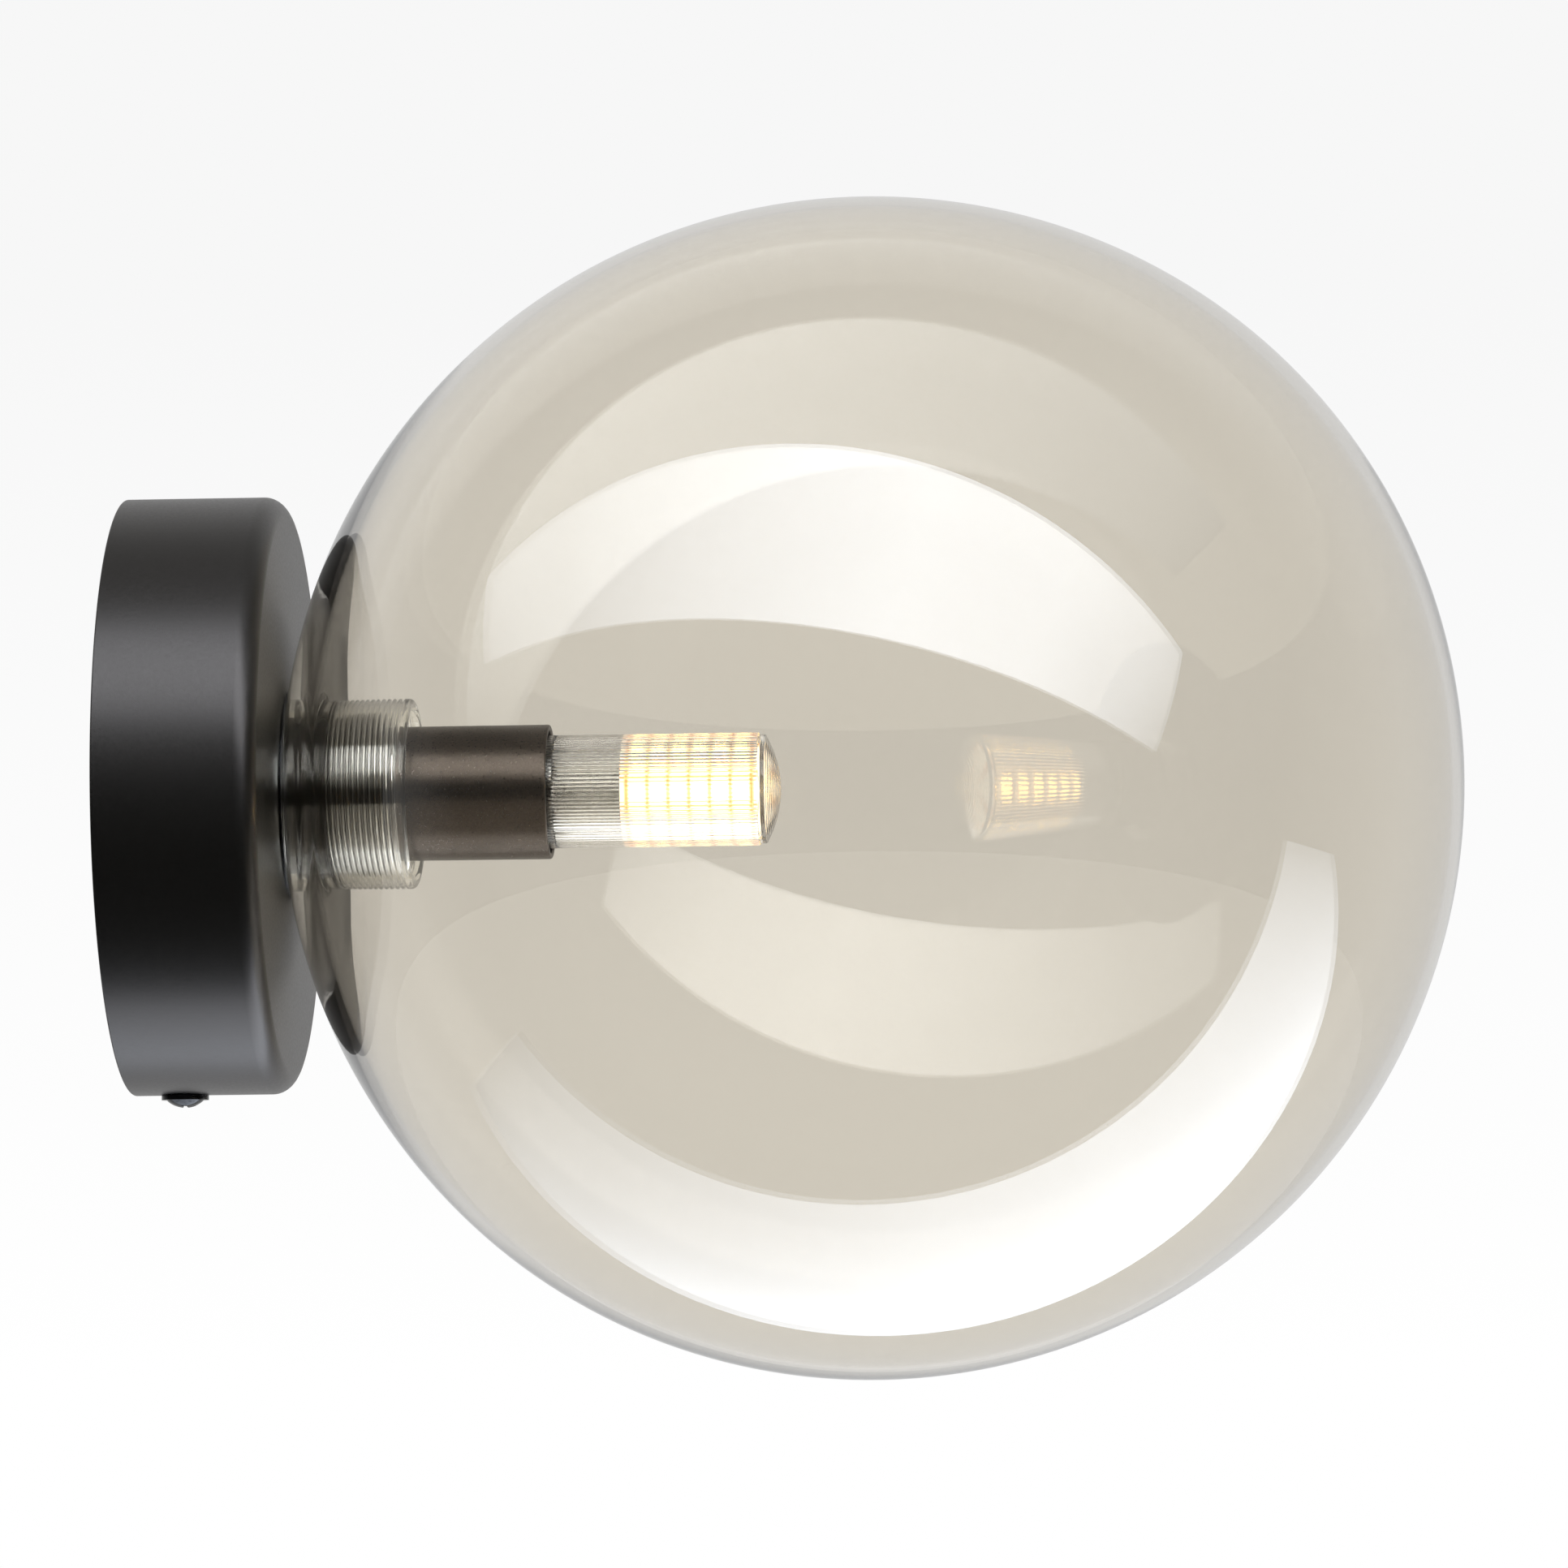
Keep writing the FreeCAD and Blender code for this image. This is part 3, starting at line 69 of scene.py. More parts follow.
GLASS_WALL = 1.8 * MM
FOOT_EXTRA_WALL = 1.2 * MM
FOOT_EXTRA_LENGTH = 12.0 * MM
FOOT_ROUNDING = 0.7 * MM
NECK_RADIUS = 16.0 * MM
NECK_BORE = 14.1 * MM
NECK_FLARE = 1.7 * MM
GLOBE_SIDES = 256
SHELL_STEPS = 110
FLARE_STEPS = 6
LIP_STEPS = 8
BLOWN_WAVE = 0.35 * MM
INNER_WAVE_SHARE = 0.6
WAVE_FROM = 2 * MM
WAVE_FULL = 40 * MM
FOOT_WALL_FULL = 8 * MM

# The thread's lines stand a pitch apart. With two starts it moves on by two pitches in a turn.
THREAD_PITCH = 1.0 * MM
THREAD_STARTS = 2
THREAD_DEPTH = 0.38 * MM
THREAD_SHARPNESS = 1.3
THREAD_STEP = 0.1 * MM
GLASS_THREAD_START = 31.8 * MM
CARRIER_THREAD_START = 35.5 * MM

CARRIER_BORE = 11.35 * MM
CARRIER_BODY = 13.0 * MM
CARRIER_SIDES = 144
CARRIER_CREASE = math.radians(50)
SLEEVE_WALL = 1.0 * MM
SLEEVE_RIM = 0.3 * MM
SLEEVE_SIDES = 160

COVER_WALL = 0.8 * MM
COVER_RING_END = 71.1 * MM
COVER_BAND_END = 106.4 * MM
COVER_END_STEP = 0.4 * MM
COVER_PLAIN_BAND = 1.2 * MM
COVER_SLOPE = 0.15 * MM
COVER_CREASE = math.radians(40)
RIB_COUNT = 90
RIB_SIDES = 6
RIB_STEPS = 8
RIB_DROP = 0.05 * MM
RIB_DEPTH = 0.26 * MM
DOME_RING_PITCH = 0.6 * MM
DOME_RING_HEIGHT = 0.02 * MM
DOME_RING_STEPS = 4
DOME_INSIDE_STEPS = 12

LED_FACES = 6
LEDS_PER_FACE = 6
LED_FACE_TURN = math.radians(7.0)
LED_FACE_DISTANCE = 6.6 * MM
CHIP_LENGTH = 2.8 * MM
CHIP_WIDTH = 3.5 * MM
CHIP_HEIGHT = 0.7 * MM
CHIP_FRAME = 0.3 * MM
CHIP_EDGE = 0.12 * MM
CHIP_EDGE_STEPS = 2
# The frame, then the phosphor pad: how far each is set in, and its bottom and top in chip heights.
CHIP_LAYERS = ((0.0, 0.0, 0.75), (CHIP_FRAME, 0.6, 1.0))

canopy_back, canopy_front, canopy_radius = round_size("canopy")
sleeve_back, sleeve_front, sleeve_radius = round_size("holder_sleeve")
carrier_back, carrier_front, carrier_radius = round_size("glass_carrier")
glass_foot, globe_tip, globe_radius = round_size("globe_shell")
_, neck_front, seam_radius = round_size("globe_neck")
cover_back, cover_tip, cover_radius = round_size("lamp_cover")
globe_middle = globe_tip - globe_radius
chips_low, chips_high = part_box("led_chips")
led_first = chips_low.x + CHIP_LENGTH / 2
led_pitch = (chips_high.x - chips_low.x - CHIP_LENGTH) / (LEDS_PER_FACE - 1)


# ---------------------------------------------------------------- mesh helpers
def rounded(corners, steps=6):
    """The points of a closed outline. A corner's third value is the radius that rounds it off."""
    points = []
    for index, (x, r, radius) in enumerate(corners):
        here = Vector((x, r))
        if not radius:
            points.append(here)
            continue
        before = (Vector(corners[index - 1][:2]) - here).normalized()
        after = (Vector(corners[(index + 1) % len(corners)][:2]) - here).normalized()
        half = before.angle(after) / 2
        centre = here + (before + after).normalized() * radius / math.sin(half)
        first = here + before * radius / math.tan(half) - centre
        last = here + after * radius / math.tan(half) - centre
        for step in range(steps + 1):
            points.append(centre + first.lerp(last, step / steps).normalized() * radius)
    return points


def arc(centre, radius, start, end, steps):
    """Points on an arc about a place on the axis, from one angle to another. Angle 0 faces the wall."""
    points = []
    for step in range(steps + 1):
        angle = start + (end - start) * step / steps
        points.append(Vector((centre - radius * math.cos(angle), radius * math.sin(angle))))
    return points


def turned_mesh(name, outline, sides, shape=None):
    """Turns an outline about the lamp's axis. Where given, shape(x, r, angle) moves each point."""
    mesh = bpy.data.meshes.new(name)
    work = bmesh.new()
    rings = []
    for x, r in outline:
        on_axis = r < ON_AXIS
        ring = []
        for side in range(1 if on_axis else sides):
            angle = FULL_TURN * side / sides
            place = (x, r) if shape is None else shape(x, r, angle)
            ring.append(work.verts.new((place[0], place[1] * math.cos(angle), place[1] * math.sin(angle))))
        rings.append(ring)
    closed = len(rings[0]) > 1 and len(rings[-1]) > 1
    for index in range(0 if closed else 1, len(rings)):
        near, far = rings[index - 1], rings[index]
        for side in range(sides):
            on = (side + 1) % sides
            if len(near) == len(far) == 1:
                continue
            if len(near) == 1:
                work.faces.new((near[0], far[on], far[side]))
            elif len(far) == 1:
                work.faces.new((near[side], near[on], far[0]))
            else:
                work.faces.new((near[side], near[on], far[on], far[side]))
    bmesh.ops.recalc_face_normals(work, faces=work.faces)
    work.to_mesh(mesh)
    work.free()
    mesh.shade_smooth()
    return mesh


def add_piece(name, mesh, body, slot, replaced, *materials):
    """Puts a mesh into the scene as a piece that rides on a body and stands for CAD nodes."""
    piece = bpy.data.objects.new(name, mesh)
    bpy.context.scene.collection.objects.link(piece)
    for material in materials:
        mesh.materials.append(material)
    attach(piece, body)
    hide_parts(*replaced)
    return piece


def weigh_normals(piece):
    """Keeps flat and straight stretches flat beside their rounded edges."""
    modifier = piece.modifiers.new("even_light", "WEIGHTED_NORMAL")
    modifier.keep_sharp = True


# ---------------------------------------------------------------- material helpers
# Noise stays mostly between these levels. Colours change over the narrower stretch.
NOISE_LOW, NOISE_HIGH = 0.3, 0.7
BLEND_LOW, BLEND_HIGH = 0.35, 0.65

# How far the roughness of a skin wanders to each side of its middle.
COAT_UNEVEN = 0.03
PLASTIC_UNEVEN = 0.04
METAL_UNEVEN = 0.06

# The height of a black coat's pebbles, in millimetres.
COAT_PEBBLE = 0.006


def colour(code):
    """An sRGB hex colour as linear red, green, blue and alpha."""
    channels = []
    for start in (1, 3, 5):
        value = int(code[start:start + 2], 16) / 255
        channels.append(value / 12.92 if value <= 0.04045 else ((value + 0.055) / 1.055) ** 2.4)
    return (*channels, 1.0)


def per_metre(millimetres):
    """The scale at which a pattern repeats at a real size."""
    return 1 / (millimetres * MM)


def node(tree, kind, inputs=(), **settings):
    """Adds a node with its settings. An input is a plain value or another node's output."""
    added = tree.nodes.new("ShaderNode" + kind)
    for name, value in settings.items():
        setattr(added, name, value)
    for key, value in dict(inputs).items():
        if isinstance(value, bpy.types.NodeSocket):
            tree.links.new(value, added.inputs[key])
        else:
            added.inputs[key].default_value = value
    return added


def new_material(name):
    """An empty material and its node tree."""
    material = bpy.data.materials.new(name)
    material.use_nodes = True
    material.node_tree.nodes.clear()
    return material, material.node_tree


def finish_material(tree, shader):
    """Wires a shader to the material's output."""
    node(tree, "OutputMaterial", {"Surface": shader.outputs[0]})


def skin(tree, grain, height):
    """A fine uneven skin, with its grain and height in millimetres. Gives its bump and its noise.

    Most real skins are too fine to show, so their grain is drawn coarser, from 0.3 mm up.
    """
    place = node(tree, "TexCoord")
    noise = node(tree, "TexNoise", {"Vector": place.outputs["Object"], "Scale": per_metre(grain),
                                    "Detail": 2.0, "Roughness": 0.5})
    bump = node(tree, "Bump", {"Height": noise.outputs[0], "Distance": height * MM})
    return bump.outputs[0], noise.outputs[0]


def spread(tree, value, low, high):
    """Stretches a noise value between two levels."""
    return node(tree, "MapRange", {"Value": value, "From Min": NOISE_LOW, "From Max": NOISE_HIGH,
                                   "To Min": low, "To Max": high}).outputs[0]


def blend(tree, value, first, second):
    """A colour between two, by a noise value."""
    ramp = node(tree, "ValToRGB", {0: value})
    ramp.color_ramp.elements[0].position = BLEND_LOW
    ramp.color_ramp.elements[0].color = first
    ramp.color_ramp.elements[1].position = BLEND_HIGH
    ramp.color_ramp.elements[1].color = second
    return ramp.outputs[0]


# ---------------------------------------------------------------- materials
def black_coat(name, dark, pale, roughness, grain):
    """A thin black coat on metal: soft broad highlights broken up by a fine pebbled skin."""
    material, tree = new_material(name)
    bump, noise = skin(tree, grain, COAT_PEBBLE)
    shader = node(tree, "BsdfPrincipled", {
        "Base Color": blend(tree, noise, colour(dark), colour(pale)),
        "Roughness": spread(tree, noise, roughness - COAT_UNEVEN, roughness + COAT_UNEVEN),
        "IOR": 1.5, "Specular Tint": colour("#fff5ec"), "Normal": bump})
    finish_material(tree, shader)
    return material


def glass(name, tint, shadow_tint, roughness, ior):
    """Clear solid that bends what is behind it. Lamps shine through it, so what it holds is lit."""
    material, tree = new_material(name)
    shader = node(tree, "BsdfPrincipled", {
        "Base Color": colour(tint), "Roughness": roughness, "IOR": ior, "Transmission Weight": 1.0})
    open_way = node(tree, "BsdfTransparent", {"Color": colour(shadow_tint)})
    path = node(tree, "LightPath")
    mixed = node(tree, "MixShader", {0: path.outputs["Is Shadow Ray"],
                                     1: shader.outputs[0], 2: open_way.outputs[0]})
    finish_material(tree, mixed)
    return material


def metal(name, dark, pale, roughness, grain, height):
    """Bare or plated metal: tinted mirror light, blurred by its skin."""
    material, tree = new_material(name)
    bump, noise = skin(tree, grain, height)
    shader = node(tree, "BsdfPrincipled", {
        "Base Color": blend(tree, noise, colour(dark), colour(pale)), "Metallic": 1.0,
        "Roughness": spread(tree, noise, roughness - METAL_UNEVEN, roughness + METAL_UNEVEN),
        "Normal": bump})
    finish_material(tree, shader)
    return material


def plastic(name, dark, pale, roughness, grain, height, ior=1.5):
    """Moulded or fired plain stuff: its own colour under an even sheen."""
    material, tree = new_material(name)
    bump, noise = skin(tree, grain, height)
    shader = node(tree, "BsdfPrincipled", {
        "Base Color": blend(tree, noise, colour(dark), colour(pale)),
        "Roughness": spread(tree, noise, roughness - PLASTIC_UNEVEN, roughness + PLASTIC_UNEVEN),
        "IOR": ior, "Normal": bump})
    finish_material(tree, shader)
    return material


# Lit skins, with their grain and its height in millimetres.
LIT_GRAIN = 0.4
LIT_GRAIN_HEIGHT = 0.004
LIT_ROUGHNESS = 0.4

# The cosine at which a gap between chips has fully taken on the painted glow that lies beside the chips.
GAP_EDGE = -0.5


def lit(name, body, light, strength):
    """Plain stuff that also glows: on the phosphor it is the lamp's own light, and on a chip's frame it is
    painted light.
    """
    material, tree = new_material(name)
    bump, _ = skin(tree, LIT_GRAIN, LIT_GRAIN_HEIGHT)
    shader = node(tree, "BsdfPrincipled", {
        "Base Color": colour(body), "Roughness": LIT_ROUGHNESS,
        "Emission Color": colour(light), "Emission Strength": strength, "Normal": bump})
    finish_material(tree, shader)
    return material


def painted_glow_board(name, body, near, gap, strength):
    """Solder mask with painted light from its chips: a glow of one colour beside them, and one in the gaps
    between them.

    Both cosines are 1 over a chip's middle and -1 halfway to the next chip along or round.
    """
    material, tree = new_material(name)
    bump, _ = skin(tree, LIT_GRAIN, LIT_GRAIN_HEIGHT)
    place = node(tree, "TexCoord")
    parts = node(tree, "SeparateXYZ", {0: place.outputs["Object"]})
    steps = node(tree, "MapRange", {"Value": parts.outputs["X"], "From Min": led_first,
                                    "From Max": led_first + led_pitch, "To Max": FULL_TURN}, clamp=False)
    column = node(tree, "Math", {0: steps.outputs[0]}, operation="COSINE")
    angle = node(tree, "Math", {0: parts.outputs["Z"], 1: parts.outputs["Y"]}, operation="ARCTAN2")
    faces = node(tree, "Math", {0: angle.outputs[0], 1: float(LED_FACES), 2: -LED_FACES * LED_FACE_TURN},
                 operation="MULTIPLY_ADD")
    row = node(tree, "Math", {0: faces.outputs[0]}, operation="COSINE")
    nearest = node(tree, "Math", {0: column.outputs[0], 1: row.outputs[0]}, operation="MINIMUM")
    share = node(tree, "MapRange", {"Value": nearest.outputs[0], "From Min": -1.0, "From Max": GAP_EDGE})
    # Painted light: the chips' glow on the mask, pale near them and amber between them.
    ramp = node(tree, "ValToRGB", {0: share.outputs[0]})
    ramp.color_ramp.elements[0].color = colour(gap)
    ramp.color_ramp.elements[1].color = colour(near)
    shader = node(tree, "BsdfPrincipled", {
        "Base Color": colour(body), "Roughness": LIT_ROUGHNESS, "Emission Color": ramp.outputs[0],
        "Emission Strength": strength, "Normal": bump})
    finish_material(tree, shader)
    return material


# Polyester powder coat baked on spun steel: near black, with soft broad highlights.
black_steel = black_coat("powder_coated_steel", "#0c0c0b", "#121110", 0.35, 0.5)

# Drawn tube under black nickel plate: brown-black metal with one long blurred highlight.
black_tube = metal("black_nickel_tube", "#4f4842", "#5a524b", 0.32, 0.4, 0.001)

# Turned aluminium, black anodised: as dark as the cup, with a finer skin and a closer sheen.
black_carrier = black_coat("black_anodised_ring", "#0b0b0b", "#121211", 0.32, 0.3)

# Steel screw in black zinc plate: small dark glints.
black_screw = metal("black_zinc_screw", "#2b2b2c", "#3a3a3b", 0.18, 0.4, 0.002)

# Mouth-blown soda glass, tinted in the melt: a warm grey that deepens where light crosses it aslant.
smoked_glass = glass("smoked_soda_glass", "#eae6de", "#e6e2da", 0.0, 1.5)

# Pressed soda glass with no tint: its thread breaks the light into bright lines and dark roots.
clear_glass = glass("clear_soda_glass", "#fbfaf4", "#f4f3ee", 0.0, 1.5)

# Moulded clear polycarbonate: bends light more than glass, so each rib is a bright stripe.
clear_cover = glass("clear_polycarbonate", "#fcfbf8", "#f6f5f2", 0.0, 1.585)

# Moulded clear silicone: milky and soft beside the glass.
clear_silicone = glass("clear_silicone", "#eeeeec", "#e8e8e6", 0.25, 1.41)

# Pressed steel strip and turned fasteners in zinc plate: pale grey, lightly mottled.
zinc_steel = metal("zinc_plated_steel", "#9b9c9c", "#bcbdbb", 0.32, 1.5, 0.004)

# Bare pressed steel: a darker and duller grey.
bare_steel = metal("pressed_steel", "#7d7d7c", "#93928f", 0.38, 1.0, 0.004)

# Stamped copper dipped in tin: warm grey with a soft shine.
tinned_copper = metal("tinned_copper", "#a9a59c", "#c2beb5", 0.3, 0.8, 0.003)

# Turned brass: yellow metal with a close shine.
brass = metal("turned_brass", "#b08b45", "#c9a45a", 0.25, 0.5, 0.002)

# Stamped spring strip in nickel plate: bright, slightly warm metal.
nickel = metal("nickel_plated_strip", "#b3aea2", "#cbc6ba", 0.2, 0.5, 0.002)

# Drawn aluminium can, left bright: it shows through the ribs as pale and dark stripes.
driver_can = metal("aluminium_driver_can", "#bdbbb6", "#d3d1cb", 0.16, 0.8, 0.002)

# Moulded rubber: matt and nearly black.
black_rubber = plastic("black_rubber", "#161616", "#202020", 0.75, 0.6, 0.01)

# Moulded nylon: slightly yellow white with a dull sheen.
white_nylon = plastic("moulded_nylon", "#dcd9cf", "#e6e3da", 0.45, 0.8, 0.006)

# Pressed and fired steatite without glaze: chalky warm white.
steatite = plastic("fired_steatite", "#dedacd", "#ece8dc", 0.6, 0.5, 0.01)

# Moulded white lamp base: pale with an even sheen.
lamp_plastic = plastic("white_lamp_plastic", "#d9d7cf", "#e4e2da", 0.35, 0.8, 0.004)

# Extruded sheaths of the leads: smooth, in the colours that tell the leads apart.
live_sheath = plastic("brown_lead_sheath", "#5a3016", "#68391c", 0.4, 0.8, 0.004)
neutral_sheath = plastic("blue_lead_sheath", "#1d4f9c", "#275ba8", 0.4, 0.8, 0.004)
earth_sheath = plastic("green_lead_sheath", "#3f7f27", "#4d8f30", 0.4, 0.8, 0.004)

# White solder mask printed on the lamp's boards, with painted light from the chips: a pale glow beside
# them, amber in the gaps.
board_painted_glow = painted_glow_board("solder_mask_painted_glow", "#efe9da", "#fff2d9", "#c9803a", 3.0)

# Phosphor cast over each chip's diode: the lamp's warm yellow light comes from here.
phosphor = lit("lit_phosphor", "#f6e3b0", "#ffd277", 24.0)

# Moulded white frame of each chip: its phosphor really lights it, and here that light is a painted glow.
chip_frame_painted_glow = lit("chip_frame_with_painted_glow", "#f2eee2", "#ffe0a8", 5.0)

NODE_MATERIALS = {
    "wall_bracket": zinc_steel, "cable_grommet": black_rubber, "earth_screw": zinc_steel,
    "earth_lug": tinned_copper, "earth_lead": earth_sheath, "live_lead": live_sheath,
    "neutral_lead": neutral_sheath, "terminal_block": white_nylon, "terminal_inserts": brass,
    "clamp_screws": zinc_steel, "block_screws": zinc_steel, "canopy_hook": bare_steel,
    "canopy_lock_screw": black_screw, "threaded_nipple": zinc_steel, "canopy_nut": zinc_steel,
    "sleeve_nut": zinc_steel, "tooth_washer": zinc_steel, "socket_bracket": bare_steel,
    "socket_body": steatite, "live_contact": nickel, "neutral_contact": nickel,
    "glass_gasket": clear_silicone, "lamp_base": lamp_plastic, "lamp_pins": nickel,
    "driver_pot": driver_can, "led_base_board": board_painted_glow, "led_end_board": board_painted_glow,
    "led_boards": board_painted_glow,
}


def dress_nodes():
    """Gives every CAD node that stays in view its own finish."""
    for name, material in NODE_MATERIALS.items():
        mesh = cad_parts[name].data
        mesh.materials.clear()
        mesh.materials.append(material)


# ---------------------------------------------------------------- pieces
def make_canopy():
    """Spun steel cup with a rounded front edge."""
    inner_edge = CANOPY_EDGE - CANOPY_WALL
    outline = rounded([
        (canopy_back, canopy_radius - CANOPY_WALL, CANOPY_RIM), (canopy_back, canopy_radius, CANOPY_RIM),
        (canopy_front, canopy_radius, CANOPY_EDGE), (canopy_front, NIPPLE_HOLE, CANOPY_RIM),
        (canopy_front - CANOPY_WALL, NIPPLE_HOLE, CANOPY_RIM),
        (canopy_front - CANOPY_WALL, canopy_radius - CANOPY_WALL, inner_edge),
    ], CANOPY_EDGE_STEPS)
    mesh = turned_mesh("canopy_cup", outline, CANOPY_SIDES)
    piece = add_piece("canopy_cup", mesh, "base", "black_steel", ["canopy"], black_steel)
    weigh_normals(piece)


def make_sleeve():
    """Drawn tube with a thin rounded mouth."""
    floor = sleeve_back + SLEEVE_WALL
    outline = rounded([
        (sleeve_back, NIPPLE_HOLE, 0), (sleeve_back, sleeve_radius, SLEEVE_WALL / 2),
        (sleeve_front, sleeve_radius, SLEEVE_RIM), (sleeve_front, sleeve_radius - SLEEVE_WALL, SLEEVE_RIM),
        (floor, sleeve_radius - SLEEVE_WALL, SLEEVE_RIM), (floor, NIPPLE_HOLE, 0),
    ])
    mesh = turned_mesh("sleeve_tube", outline, SLEEVE_SIDES)
    piece = add_piece("sleeve_tube", mesh, "base", "black_tube", ["holder_sleeve"], black_tube)
    weigh_normals(piece)


def ridge(x, angle):
    """Height of a two-start round thread along the neck, from 0 in the root to 1 on the crest."""
    turns = x / THREAD_PITCH - THREAD_STARTS * angle / FULL_TURN
    return (0.5 + 0.5 * math.cos(FULL_TURN * turns)) ** THREAD_SHARPNESS


def fade(value, start, end):
    """0 up to the start and 1 from the end on, with a smooth rise between."""
    share = min(max((value - start) / (end - start), 0.0), 1.0)
    return share * share * (3 - 2 * share)


def make_carrier():
    """Turned ring with the round thread that the glass screws on to."""
    thread_end = carrier_front - THREAD_PITCH / 2

    def threaded(x, r, angle):
        """Cuts the thread into the ring's rim, and lets it run out at both ends."""
        if r < carrier_radius - TOUCH or x < CARRIER_THREAD_START:
            return x, r
        held = fade(x, CARRIER_THREAD_START, CARRIER_THREAD_START + THREAD_PITCH / 2)
        held *= 1 - fade(x, thread_end, carrier_front)
        return x, r - THREAD_DEPTH * (1 - ridge(x, angle) * held)

    steps = round((carrier_front - CARRIER_THREAD_START) / THREAD_STEP)
    outline = [Vector((carrier_back, NIPPLE_HOLE)), Vector((carrier_back, CARRIER_BODY)),
               Vector((CARRIER_THREAD_START - THREAD_STEP, CARRIER_BODY))]
    for step in range(steps + 1):
        outline.append(Vector((CARRIER_THREAD_START + THREAD_STEP * step, carrier_radius)))
    outline += [Vector((carrier_front, CARRIER_BORE)), Vector((sleeve_back, CARRIER_BORE)),
                Vector((sleeve_back, NIPPLE_HOLE))]
    mesh = turned_mesh("carrier_ring", outline, CARRIER_SIDES, threaded)
    mesh.set_sharp_from_angle(angle=CARRIER_CREASE)
    add_piece("carrier_ring", mesh, "base", "black_carrier", ["glass_carrier"], black_carrier)


# Waves of a hand-blown shell. Each says how fast it goes along X, Y and Z, and where it starts.
BROAD_WAVES = ((2.1, 1.7, -1.3, 0.6), (-1.6, 2.4, 2.0, 2.1))
BROAD_SHARE = 0.35
FINE_WAVES = ((4.1, 0.0, -3.2, 1.1), (0.0, 3.7, 4.4, -0.8))
FINE_SHARE = 0.15


def blown_wave(direction):
    """Unevenness of the shell in one direction from its centre, from -1 to 1."""
    height = 0.0
    for waves, share in ((BROAD_WAVES, BROAD_SHARE), (FINE_WAVES, FINE_SHARE)):
        for along_x, along_y, along_z, start in waves:
            phase = along_x * direction[0] + along_y * direction[1] + along_z * direction[2] + start
            height += share * math.sin(phase)
    return height


def make_globe():
    """One blown and pressed glass: round shell, and a threaded neck that turns back into it."""
    inner_radius = globe_radius - GLASS_WALL
    foot_angle = math.asin(seam_radius / globe_radius)
    inner_angle = math.asin(seam_radius / inner_radius)
    seam_inside = globe_middle - math.sqrt(inner_radius ** 2 - seam_radius ** 2)
    lip = (NECK_RADIUS - NECK_BORE) / 2
    thread_steps = round((neck_front - lip - GLASS_THREAD_START) / THREAD_STEP)

    outline = [Vector((glass_foot, seam_radius - FOOT_ROUNDING))]
    outline += arc(globe_middle, globe_radius, foot_angle, math.pi, SHELL_STEPS)
    outline += arc(globe_middle, inner_radius, math.pi, inner_angle, SHELL_STEPS)[:-1]
    for step in range(FLARE_STEPS + 1):
        turn = math.pi / 2 * step / FLARE_STEPS
        outline.append(Vector((seam_inside + NECK_FLARE * (1 - math.cos(turn)),
                               seam_radius - NECK_FLARE * math.sin(turn))))
    for step in range(thread_steps + 1):
        outline.append(Vector((GLASS_THREAD_START + THREAD_STEP * step, NECK_RADIUS)))
    for step in range(1, LIP_STEPS):
        turn = math.pi * step / LIP_STEPS
        outline.append(Vector((neck_front - lip + lip * math.sin(turn),
                               NECK_BORE + lip + lip * math.cos(turn))))
    for step in range(thread_steps, -1, -1):
        outline.append(Vector((GLASS_THREAD_START + THREAD_STEP * step, NECK_BORE)))
    outline += [Vector((glass_foot + FOOT_ROUNDING, NECK_BORE)),
                Vector((glass_foot, NECK_BORE + FOOT_ROUNDING))]

    def blown(x, r, angle):
        """Waves the shell, thickens it towards its foot, and presses the thread into the neck."""
        from_middle = math.hypot(x - globe_middle, r)
        if from_middle > globe_radius - 2 * GLASS_WALL and x > glass_foot + TOUCH:
            away = x - glass_foot
            direction = ((x - globe_middle) / from_middle, r * math.cos(angle) / from_middle,
                         r * math.sin(angle) / from_middle)
            moved = BLOWN_WAVE * blown_wave(direction) * fade(away, WAVE_FROM, WAVE_FULL)
            if from_middle < globe_radius - GLASS_WALL / 2:
                thicker = FOOT_EXTRA_WALL * math.exp(-away / FOOT_EXTRA_LENGTH)
                moved = moved * INNER_WAVE_SHARE - thicker * fade(away, WAVE_FROM, FOOT_WALL_FULL)
            scale = 1 + moved / from_middle
            return globe_middle + (x - globe_middle) * scale, r * scale
        held = fade(x, GLASS_THREAD_START, GLASS_THREAD_START + THREAD_PITCH)
        held *= 1 - fade(x, neck_front - 2 * lip, neck_front - lip)
        if r > NECK_RADIUS - TOUCH:
            return x, r - THREAD_DEPTH * held * (1 - ridge(x, angle))
        if r < NECK_BORE + TOUCH:
            return x, r + THREAD_DEPTH * held * ridge(x, angle)
        return x, r

    mesh = turned_mesh("blown_globe", outline, GLOBE_SIDES, blown)
    add_piece("blown_globe", mesh, "globe", "smoked_glass", ["globe_shell", "globe_neck"],
              smoked_glass, clear_glass)
    for face in mesh.polygons:
        middle = face.center
        in_neck = math.hypot(middle.y, middle.z) < seam_radius and middle.x < neck_front + MM
        face.material_index = 1 if in_neck else 0


